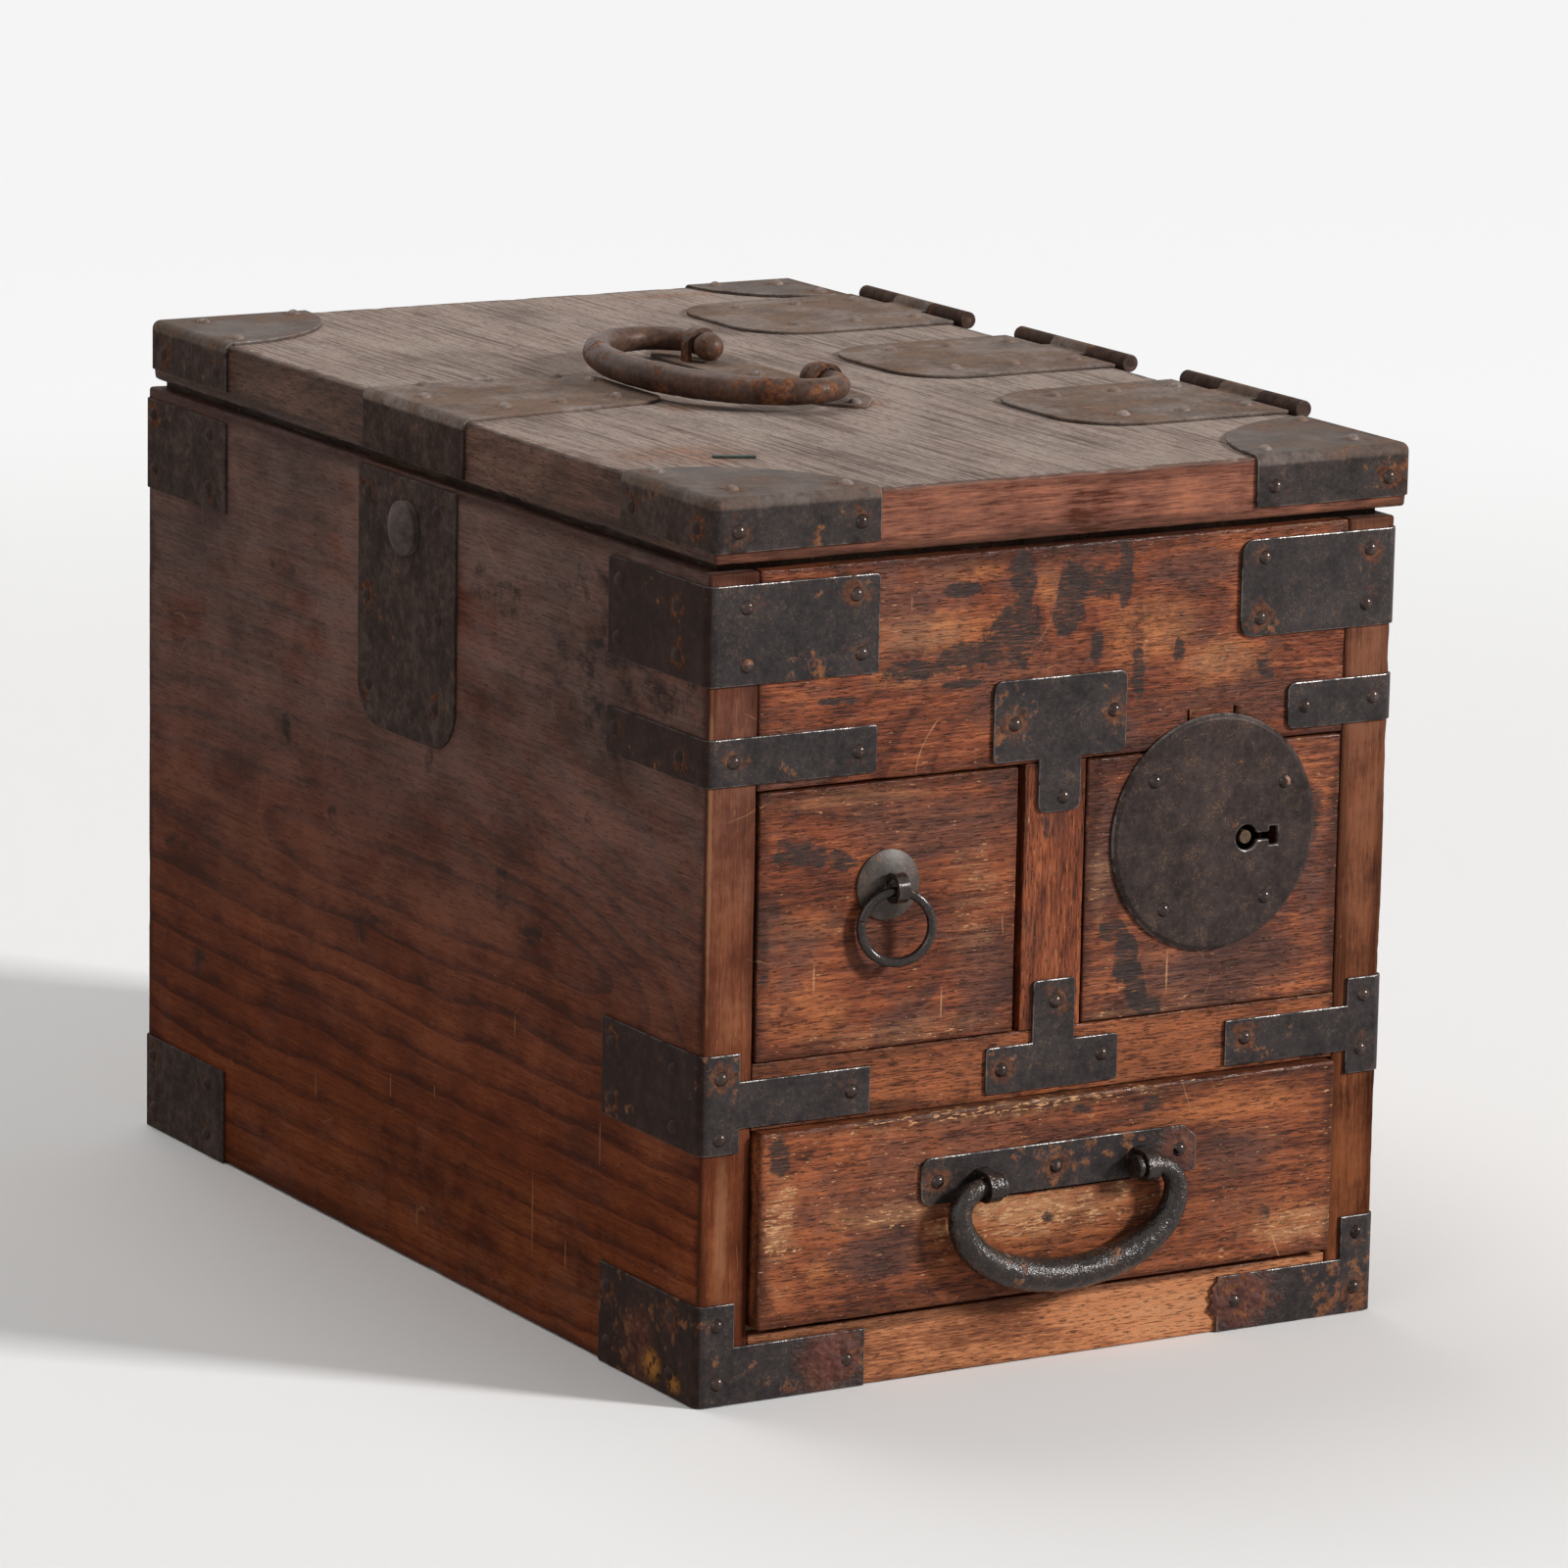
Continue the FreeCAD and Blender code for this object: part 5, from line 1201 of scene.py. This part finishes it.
@dataclass
class Ironwork:
    """Iron pieces that share a finish.

    ease is the width of their eased edges.  A nail is a piece's own where its middle lies
    no more than nail_reach outside the piece's box.  Both are in millimetres.
    """

    finish: Iron
    nodes: tuple[str, ...]
    seed: float
    nails: str = ""
    scabs: tuple[Mark, ...] = ()
    ochre: tuple[Mark, ...] = ()
    ease: float = 0.0
    nail_reach: float = 4.0

    def build(self) -> None:
        """Dresses each piece, with eased edges where asked, and rust round its nails."""
        reach = self.nail_reach * MM
        every = clusters(self.nails, reach) if self.nails else []
        for count, node in enumerate(self.nodes):
            low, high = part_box(node)
            inside = [p for p in every
                      if all(lo - reach < c < hi + reach for c, lo, hi in zip(p, low, high))]
            material = IronPaint(self.finish, f"iron_{node}", self.seed + 0.6 * count).material(
                float(high[2]), inside, self.scabs, self.ochre)
            piece = frame["nodes"][node]
            if self.ease:
                piece = eased(node, self.ease * MM)
                put_in(piece, node)
            dress(piece, material)
            LOG.info("dressed %s, %d nails", piece.name, len(inside))


@dataclass
class Bail:
    """A forged drop handle, from one shaped end round to the other, in millimetres.

    tip is where its end lies on the axis, and head the end's radius.  half_width, reach and
    shoulder give the loop's size and the radius of its turns; neck, arm and belly are its
    radii along the straight, after the turn and at the lowest point.
    """

    node: str
    finish: Iron
    centre: Triple
    axis: Triple
    reach_way: Triple
    tip: float
    head: float
    ball: bool
    half_width: float
    reach: float
    shoulder: float
    neck: float
    arm: float
    belly: float
    seed: int
    rough: float = 0.07

    def _end(self) -> tuple[np.ndarray, np.ndarray]:
        """The shaped end: a ball, or a disc with a soft rim.

        Returns:
            Places along the axis and the radius at each.
        """
        if self.ball:
            angle = np.linspace(0.0, np.pi, 22)
            out = self.tip + self.head * (1.0 - np.cos(angle))
            size = self.head * np.sin(angle)
            keep = (out < self.tip + self.head) | (size > self.neck)
            return out[keep], size[keep]
        return (self.tip + np.array([0.0, 0.04, 0.25, 0.7, 1.6, 2.1, 2.4, 2.45]),
                self.head * np.array([0.0, 0.82, 0.95, 1.0, 1.0, 0.97, 0.86, 0.80]))

    def _half(self) -> tuple[np.ndarray, np.ndarray]:
        """Half of the middle line in its plane, and the radius along it.

        The line runs out along the axis, turns down a quarter circle, and follows half an
        ellipse to the lowest point.  The radius is neck on the straight, grows to arm over
        the shoulder, and is arm + (belly - arm) sin(angle) on the ellipse.

        Returns:
            Rows of places along the axis and across it, and the radius at each.
        """
        quarter = np.pi / 2
        bend = self.half_width - self.shoulder
        end_u, end_r = self._end()
        straight = np.linspace(end_u[-1] + 0.2, bend, 26)[:-1]
        turn = np.linspace(0.0, quarter, 26)[:-1]
        sweep = np.linspace(0.0, quarter, 90)
        u = np.concatenate([end_u, straight, bend + self.shoulder * np.sin(turn),
                            self.half_width * np.cos(sweep)])
        v = np.concatenate([0.0 * end_u, 0.0 * straight, -self.shoulder * (1 - np.cos(turn)),
                            -self.shoulder - (self.reach - self.shoulder) * np.sin(sweep)])
        r = np.concatenate([end_r, 0.0 * straight + self.neck,
                            self.neck + (self.arm - self.neck) * turn / quarter,
                            self.arm + (self.belly - self.arm) * np.sin(sweep)])
        return np.stack([u, v], axis=-1), r

    def build(self) -> None:
        """Makes the bar in place of the plain one."""
        half, size = self._half()
        other = half[-2::-1] * np.array([-1.0, 1.0])
        flat = np.concatenate([half, other]) * MM
        radius = np.concatenate([size, size[-2::-1]]) * MM
        axis, way = np.array(self.axis), np.array(self.reach_way)
        path = (np.array(self.centre) * MM + flat[:, :1] * axis - flat[:, 1:] * way)
        piece = forged_bar(f"forged_{self.node}", path, radius, tuple(np.cross(axis, way)),
                           self.rough, self.seed)
        dress(piece, IronPaint(self.finish, f"iron_{self.node}", self.seed * 0.1).material())
        put_in(piece, self.node)
        LOG.info("built %s", piece.name)


@dataclass
class Case:
    """Side boards, rails, shelves and the iron on them.

    front and left are the faces' places; each crust is its middle across and up, and half
    its width and height; all in millimetres.
    """

    front: float = -210.0
    left: float = -135.0
    crusts: tuple[tuple[float, ...], ...] = ((80.0, 11.0, 13.0, 10.0),
                                             (-82.0, 11.5, 11.0, 10.0))
    crust_thickness: float = 1.5
    crust_sink: float = 0.25

    def _rail_stains(self) -> Stains:
        """Smoke, reddish, pale and dull places on the top rail.

        Returns:
            The stains.
        """
        return Stains(
            soot=marks_on(1, self.front, (-57, 244, 14, 4), (-36, 247, 17, 5.5),
                          (-17, 253, 14, 12), (-15, 271, 6, 11), (2, 259, 10, 8),
                          (11, 268, 17, 8), (26, 269, 4, 12), (15, 247, 2.6, 7),
                          (32, 235, 3, 10), (48, 242, 2.6, 5), (84, 233, 4, 7),
                          (-39, 270, 7, 3), (-37, 237.6, 9, 1.5), (-86, 236, 10, 2)),
            warm=marks_on(1, self.front, (-47, 257, 25, 9), (36, 249, 19, 11),
                          (64, 237, 18, 8), (-5, 270, 6, 8), (-38, 276, 20, 4),
                          (-60, 242, 14, 3), (88, 262, 12, 12, 0.6)),
            pale=marks_on(1, self.front, (64, 237, 15, 6, 0.4), (38, 252, 16, 9, 0.2),
                          (-55, 256, 20, 6, 0.3)),
            veil=marks_on(1, self.front, (60, 270, 24, 7, 0.7), (66, 222, 40, 7, 0.6),
                          (-20, 240, 40, 6, 0.5)))

    def _side_stains(self) -> Stains:
        """Marks on the left side, and scratches on it and on its front end.

        Returns:
            The stains.
        """
        return Stains(
            soot=marks_on(0, self.left, (96, 175, 6, 8), (43, 172, 4, 6), (31, 181, 4, 6),
                          (-15, 182, 5, 9), (59, 149, 5, 5), (-69, 149, 9, 15),
                          (-88, 137, 12, 6), (24, 118, 22, 4), (38, 110, 6, 8),
                          (-11, 105, 6, 9), (-130, 183, 5, 5), (186, 114, 13, 5),
                          (168, 72, 12, 7), (-60, 250, 30, 12), (100, 232, 16, 6),
                          (150, 190, 12, 5), (-150, 238, 62, 46, 0.55), strength=0.5),
            veil=marks_on(0, self.left, (-102, 200, 26, 26, 0.35), (130, 262, 110, 38, 0.9),
                          sink=30),
            warm=marks_on(0, self.left, (-20, 25, 190, 34, 0.12), sink=30),
            nicks=marks_on(0, self.left, (-94.2, 38, 0.45, 15), (-8.8, 17, 0.45, 5),
                           (-141.3, 74, 0.45, 8), (70.5, 47, 0.45, 5), (-80, 102, 0.45, 4),
                           (-21.4, 65.5, 0.45, 2.6), (12, 60, 0.45, 4), (-118, 30, 0.45, 6))
            + marks_on(1, self.front, (-127, 62, 2.6, 26, 0.7), (-133.6, 190, 0.9, 60, 0.8)))

    def boards(self) -> list[Board]:
        """Sets out the case's boards.

        Returns:
            The boards, in the order in which they are made.
        """
        bottom = replace(FRONT_WOOD, body=(0.50, 0.190, 0.079), light=(0.56, 0.25, 0.115),
                         deep=(0.20, 0.065, 0.028), soot=0.0, filmy=0.1, grime=2.0)
        middle = replace(FRONT_WOOD, body=(0.27, 0.083, 0.032), soot=0.2, filmy=0.2, grime=2.5)
        divider = replace(FRONT_WOOD, soot=0.1, filmy=0.3, grime=3.0)
        socket = ((52.2, -215.0, 204.0), (71.8, -193.8, 221.05))
        return [
            Board("left_side_board", SIDE_WOOD, Grain.Y, 0.31, (1.0, 2.2), self._side_stains(),
                  STILE_WOOD),
            Board("right_side_board", SIDE_WOOD, Grain.Y, 1.72, (1.0, 2.2),
                  Stains(veil=marks_on(0, -self.left, (0, 270, 180, 36), sink=30)),
                  replace(STILE_WOOD, body=(0.205, 0.066, 0.027))),
            Board("back_board", SIDE_WOOD, Grain.X, 2.94),
            Board("bottom_front_rail", bottom, Grain.X, 3.35, (0.5, 1.2)),
            Board("middle_front_rail", middle, Grain.X, 4.62, (0.4, 1.0)),
            Board("top_front_rail", FRONT_WOOD, Grain.X, 5.18, (0.8, 1.6),
                  self._rail_stains(), cuts=[socket]),
            Board("front_divider", divider, Grain.Z, 6.44, (0.3, 0.7),
                  Stains(soot=marks_on(1, self.front, (-3.5, 186, 2.4, 6)))),
            Board("drawer_partition", INNER_WOOD, Grain.Y, 7.1),
            Board("bottom_board", INNER_WOOD, Grain.Y_FLAT, 8.2),
            Board("drawer_shelf", INNER_WOOD, Grain.Y_FLAT, 9.3),
            Board("tray_floor", INNER_WOOD, Grain.Y_FLAT, 10.4),
            Board("bolt_socket", FRONT_WOOD, Grain.X, 11.5),
            Board("drawer_runners", INNER_WOOD, Grain.Y, 12.6),
            # The rim strips in the gap under the lid are dressed dark as painted shade.
            Board("rim_strips", RIM_WOOD_PAINTED_SHADE, Grain.Y, 13.7)]

    def build(self) -> None:
        """Makes the boards and dresses the iron."""
        for board in self.boards():
            board.build()
        scabs = marks_on(1, self.front, (82, 11, 13, 11), (-84, 12, 12, 13)) + marks_on(
            0, self.left, (-172, 12, 10, 16, 0.7))
        ochre = marks_on(0, self.left, (-181, 8, 7, 6), (-196, 5, 5, 4, 0.8))
        plates = ("front_corner_plates", "front_bands", "waist_brackets", "t_plates")
        for iron in (
                Ironwork(PLATE, plates, 0.2, "case_nails", ease=0.3),
                Ironwork(HINGE_IRON, ("hinge_case_leaves",), 0.9, "case_nails", ease=0.3),
                Ironwork(SIDE_PLATE, ("back_corner_plates", "latch_plate"), 1.9, "case_nails",
                         ease=0.3),
                Ironwork(FOOT_PLATE, ("front_foot_plates",), 3.3, "case_nails", scabs, ochre,
                         0.3),
                Ironwork(replace(HINGE_IRON, slot="handle_iron"), ("hinge_pins",), 4.4),
                Ironwork(NAIL_IRON, ("case_nails",), 5.5)):
            iron.build()
        self._crusts()

    def _crusts(self) -> None:
        """Puts lumps of rust on the front foot plates."""
        face = float(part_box("front_foot_plates")[0][1]) + self.crust_sink * MM
        for count, (across, up, wide, tall) in enumerate(self.crusts):
            name, seed = f"foot_crust_{count + 1}", 61 + 10 * count
            piece = crust(name, (across * MM, face, up * MM), (wide * MM, tall * MM),
                          self.crust_thickness * MM, seed)
            dress(piece, IronPaint(CRUST, f"iron_{name}", seed * 0.1).material())
            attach(piece, BODY_OF["front_foot_plates"])
            LOG.info("built %s", name)


@dataclass
class Lid:
    """The lid, its iron and its hinge straps; top is its height in millimetres."""

    top: float = 306.0

    def build(self) -> None:
        """Makes the lid board and dresses the iron."""
        z = self.top
        stains = Stains(
            soot=(Mark((-80, 164, z), (4, 5, 4)), Mark((-40, 120, z), (22, 12, 4), 0.2),
                  Mark((20, -150, z), (16, 30, 4), 0.15)),
            warm=(Mark((-96, -126, z), (22, 20, 5), 0.5), Mark((-46, -40, z), (12, 10, 5), 0.6),
                  Mark((14, -58, z), (14, 10, 5), 0.7), Mark((80, 192, z), (40, 6, 5), 0.6)))
        ends = replace(FRONT_WOOD, body=(0.215, 0.083, 0.054), light=(0.38, 0.140, 0.075))
        corners = replace(LID_PLATE, body=(0.034, 0.0265, 0.0250), dust=0.38, bright=0.9,
                          gloss=0.44, shine=0.12)
        clip = replace(NAIL_IRON, body=(0.045, 0.060, 0.050), gloss=0.5)
        for part in (
                Board("lid_board", LID_WOOD, Grain.Y_FLAT, 2.27, (0.8, 3.0), stains, ends),
                Board("lid_battens", RIM_WOOD_PAINTED_SHADE, Grain.X, 3.1),
                Ironwork(corners, ("lid_corner_plates",), 0.8, "lid_nails", ease=0.3),
                Ironwork(LID_PLATE, ("lid_band", "hinge_straps", "lid_handle_plate"), 1.4,
                         "lid_nails", ease=0.3),
                Ironwork(LID_HANDLE_IRON, ("lid_staples",), 1.8),
                Ironwork(replace(NAIL_IRON, dust=0.75), ("lid_nails",), 2.4),
                Ironwork(clip, ("lid_clip",), 2.9),
                Ironwork(SIDE_PLATE, ("latch_keeper",), 3.5)):
            part.build()


@dataclass
class Drawer:
    """One drawer: its worn front and its plain box."""

    name: str
    seed: float
    front: Wood
    worn: tuple[float, float]
    stains: Stains
    cuts: Sequence[tuple[Triple, Triple]] = ()

    def build(self) -> None:
        """Makes the front and dresses the box."""
        Board(f"{self.name}_front", self.front, Grain.X, self.seed, self.worn, self.stains,
              cuts=self.cuts).build()
        for count, (part, grain) in enumerate((("sides", Grain.Y), ("back", Grain.X),
                                               ("bottom", Grain.Y_FLAT))):
            Board(f"{self.name}_{part}", INNER_WOOD, grain, self.seed + 1.1 + count).build()


def ring_drawer() -> Drawer:
    """The left small drawer, with the ring pull.

    Returns:
        The drawer.
    """
    y = -210.3
    return Drawer("ring_drawer", 14.2, FRONT_WOOD, (0.5, 1.2), Stains(
        soot=marks_on(1, y, (-95, 184.6, 15, 4.5), (-82, 181, 7, 3.5), (-102, 190, 8, 3, 0.6),
                      (-112, 150, 3, 12, 0.6)),
        pale=marks_on(1, y, (-80, 202, 30, 5, 0.35), (-30, 163, 12, 20, 0.4),
                      (-60, 121, 44, 4, 0.4)),
        veil=marks_on(1, y, (-50, 190, 34, 14, 0.7), (-26, 138, 12, 18, 0.7),
                      (-72, 150, 10, 12, 0.5)),
        warm=marks_on(1, y, (-98, 160, 14, 6, 0.7), (-96, 133, 18, 10, 0.7)),
        nicks=marks_on(1, y, (-93.1, 143, 0.4, 5), (-43.3, 128.6, 0.4, 6))))


def lock_drawer() -> Drawer:
    """The right small drawer, with room for the lock case and the bolt.

    Returns:
        The drawer.
    """
    y = -210.3
    mortise = [((45.9, -212.0, 152.9), (92.1, -190.0, 205.1)),
               ((55.8, -203.7, 150.0), (68.2, -198.3, 209.0))]
    return Drawer("lock_drawer", 18.4, replace(FRONT_WOOD, body=(0.150, 0.0435, 0.0215)),
                  (0.5, 1.2), Stains(
        soot=marks_on(1, y, (25, 146, 5, 6, 1.7), (29, 137, 5, 8, 1.7), (34, 127, 5, 8, 1.7),
                      (40, 118, 5, 6, 1.7), (104, 180, 7, 14, 0.7)),
        pale=marks_on(1, y, (18, 165, 5, 12, 0.4), (40, 119, 26, 3, 0.4)),
        veil=marks_on(1, y, (60, 130, 50, 18, 0.8), (20, 175, 8, 26, 0.7)),
        nicks=marks_on(1, y, (46.7, 130, 0.4, 7))), mortise)


def wide_drawer() -> Drawer:
    """The wide drawer at the bottom.

    Returns:
        The drawer.
    """
    y = -214.5
    front = replace(FRONT_WOOD, body=(0.24, 0.067, 0.026), flecks=1.0, gloss=0.34, filmy=0.45)
    return Drawer("wide_drawer", 22.6, front, (1.0, 2.2), Stains(
        soot=marks_on(1, y, (40, 86, 4.5, 3.6), (10, 87.5, 6, 2.4), (-107, 84, 5, 8, 0.8),
                      (-1, 51, 3.2, 2.4), (87, 41, 4, 4, 0.7), (72, 58, 10, 8, 0.4)),
        pale=marks_on(1, y, (-107, 62, 7, 18, 0.9), (-5, 53, 38, 8, 1.1),
                      (100, 36, 20, 7, 0.7), (-14, 91, 60, 3, 0.8), (-62, 60, 26, 5, 0.5)),
        warm=marks_on(1, y, (-5, 50, 34, 9), (-92, 44, 8, 6, 0.8), (76, 82, 34, 7, 0.6),
                      (96, 38, 20, 9, 0.7)),
        veil=marks_on(1, y, (78, 66, 20, 12, 0.8), (-72, 46, 22, 9, 0.9))))


@dataclass
class Fittings:
    """Ring pull, lock, both handles and the latch."""

    lid_bail: Bail = field(default_factory=lambda: Bail(
        "lid_bail", LID_HANDLE_IRON, centre=(4.0, -2.0, 313.2), axis=(0, 1, 0),
        reach_way=(-1, 0, 0), tip=32.0, head=5.5, ball=True, half_width=64.8, reach=52.3,
        shoulder=15.0, neck=4.2, arm=4.6, belly=5.5, seed=31))
    drawer_bail: Bail = field(default_factory=lambda: Bail(
        "drawer_bail", HANDLE_IRON, centre=(2.3, -221.7, 66.5), axis=(1, 0, 0),
        reach_way=(0, 0, -1), tip=26.1, head=4.5, ball=False, half_width=43.3, reach=34.0,
        shoulder=9.0, neck=3.4, arm=4.4, belly=6.3, seed=47, rough=0.13))

    def build(self) -> None:
        """Makes the handles and dresses the rest."""
        rosette = replace(HANDLE_IRON, body=(0.050, 0.036, 0.029), gloss=0.4, pits=0.5)
        ring = replace(HANDLE_IRON, rust=0.1, pits=0.4)
        lock_case = replace(LOCK_PLATE, body=(0.075, 0.048, 0.032))
        nails = replace(NAIL_IRON, body=(0.030, 0.0195, 0.0165), gloss=0.10, shine=0.6)
        grey = (0.088, 0.066, 0.057)
        knob = replace(HANDLE_IRON, body=grey, flank=grey, gloss=0.30, pits=0.6, metal=0.0,
                       shine=0.2)
        scab = (Mark((50, -215.7, 69), (9, 4, 9), 0.9),)
        for part in (
                Ironwork(rosette, ("ring_rosette",), 3.0),
                Ironwork(ring, ("ring_eye", "pull_ring"), 3.7),
                Ironwork(LOCK_PLATE, ("lock_plate",), 4.0, ease=0.6),
                Ironwork(lock_case, ("lock_case",), 4.2),
                Ironwork(nails, ("lock_nails", "drawer_handle_nails"), 4.6),
                Ironwork(HANDLE_IRON, ("lock_bolt", "drawer_staples"), 5.2),
                Ironwork(knob, ("latch_knob",), 7.4),
                Ironwork(replace(PLATE, rust=0.6), ("drawer_handle_plate",), 5.9,
                         "drawer_handle_nails", scab, ease=0.35),
                Ironwork(SIDE_PLATE, ("latch_cam",), 6.1),
                self.lid_bail, self.drawer_bail):
            part.build()


@dataclass(frozen=True)
class Lamp:
    """A square lamp: the way to it, its distance, its side in metres and its watts."""

    name: str
    way: Triple
    far: float
    size: float
    power: float

    def build(self, aim: Triple) -> None:
        """Makes the lamp.

        Args:
            aim: The point it is turned to.
        """
        data = bpy.data.lights.new(self.name, "AREA")
        data.size = self.size
        data.energy = self.power
        lamp = bpy.data.objects.new(self.name, data)
        way = Vector(self.way)
        lamp.location = Vector(aim) + self.far * way.normalized()
        lamp.rotation_euler = (-way).to_track_quat("-Z", "Y").to_euler()
        bpy.context.scene.collection.objects.link(lamp)


@dataclass
class Studio:
    """Floor, backdrop, lights and camera."""

    floor: Triple = (0.62, 0.61, 0.60)
    floor_seen: Triple = (0.90, 0.89, 0.88)
    backdrop_glow: float = 0.83
    half_floor: float = 8.0
    cove_start: float = 2.2
    cove_radius: float = 1.2
    wall_height: float = 6.0
    lamps: tuple[Lamp, ...] = (Lamp("key", (0.61, -0.67, 0.42), 6.0, 0.8, 350.0),
                               Lamp("top", (-0.1, 0.45, 0.9), 2.2, 1.4, 18.0),
                               Lamp("fill", (-0.85, -0.45, 0.30), 2.6, 1.6, 8.0))
    aim: Triple = (0.0, 0.0, 0.16)
    lens: float = 177.184
    eye: Triple = (-1.36555, -2.34770, 0.74094)
    right: Triple = (0.86338863, -0.50420371, 0.01840368)
    down: Triple = (-0.09000338, -0.1898061, -0.9776876)

    def build(self) -> None:
        """Makes everything round the chest."""
        self._floor()
        for lamp in self.lamps:
            lamp.build(self.aim)
        self._world()
        self._camera()

    def _floor(self) -> None:
        """A pale level plane that rises as a smooth cove behind the chest.

        The profile is level, turns up through a quarter circle and goes on upright; it is
        carried straight across.  Far from the chest it glows, so that it is seen evenly
        pale without more light on the chest.
        """
        turn = np.linspace(0.0, np.pi / 2, 24)
        radius, start = self.cove_radius, self.cove_start
        run = np.concatenate([[-self.half_floor, -2.0], start + radius * np.sin(turn),
                              [start + radius]])
        rise = np.concatenate([[0.0, 0.0], radius - radius * np.cos(turn), [self.wall_height]])
        across = np.array([-self.half_floor, self.half_floor])
        grid = np.stack(np.broadcast_arrays(across, run[:, None], rise[:, None] - 0.2 * MM),
                        axis=-1)
        cove = new_piece("floor", grid.reshape(-1, 3), grid_faces(len(run), 2))
        g = Graph("floor_paint")
        seen = g.seen()
        far = g.vector("LENGTH", g.place(), output=1).step(0.6, 1.9)
        paint = g.mix(far, self.floor_seen, (0.10, 0.10, 0.10))
        dress(cove, g.finish(
            Base_Color=g.mix(seen, self.floor, paint), Roughness=0.9,
            Emission_Color=g.mix(seen * far, (0.0, 0.0, 0.0), (self.backdrop_glow,) * 3),
            Emission_Strength=1.0, Specular_IOR_Level=0.1))

    def _world(self) -> None:
        """Even pale light from all round, seen as nearly white."""
        sky = Sky("room")
        sky.feed(sky.shader.inputs["Color"], (1.0, 0.985, 0.965))
        sky.feed(sky.shader.inputs["Strength"], sky.seen() * 0.68 + 0.20)
        bpy.context.scene.world = sky.world

    def _camera(self) -> None:
        """A long lens to the left of the front and a little above the lid."""
        data = bpy.data.cameras.new("camera")
        data.sensor_width = 36.0
        data.lens = self.lens
        camera = bpy.data.objects.new("camera", data)
        right, up = np.array(self.right), -np.array(self.down)
        turn = Matrix(np.stack([right, up, np.cross(right, up)], axis=1).tolist())
        camera.matrix_world = Matrix.Translation(self.eye) @ turn.to_4x4()
        bpy.context.scene.collection.objects.link(camera)
        bpy.context.scene.camera = camera


def main() -> None:
    """Builds the chest's looks in order and reports each piece."""
    logging.basicConfig(level=logging.INFO, format="%(message)s")
    for part in (Case(), Lid(), ring_drawer(), lock_drawer(), wide_drawer(), Fittings(),
                 Studio()):
        part.build()
    bpy.context.scene.view_settings.view_transform = "Standard"


if __name__ == "__main__":
    main()
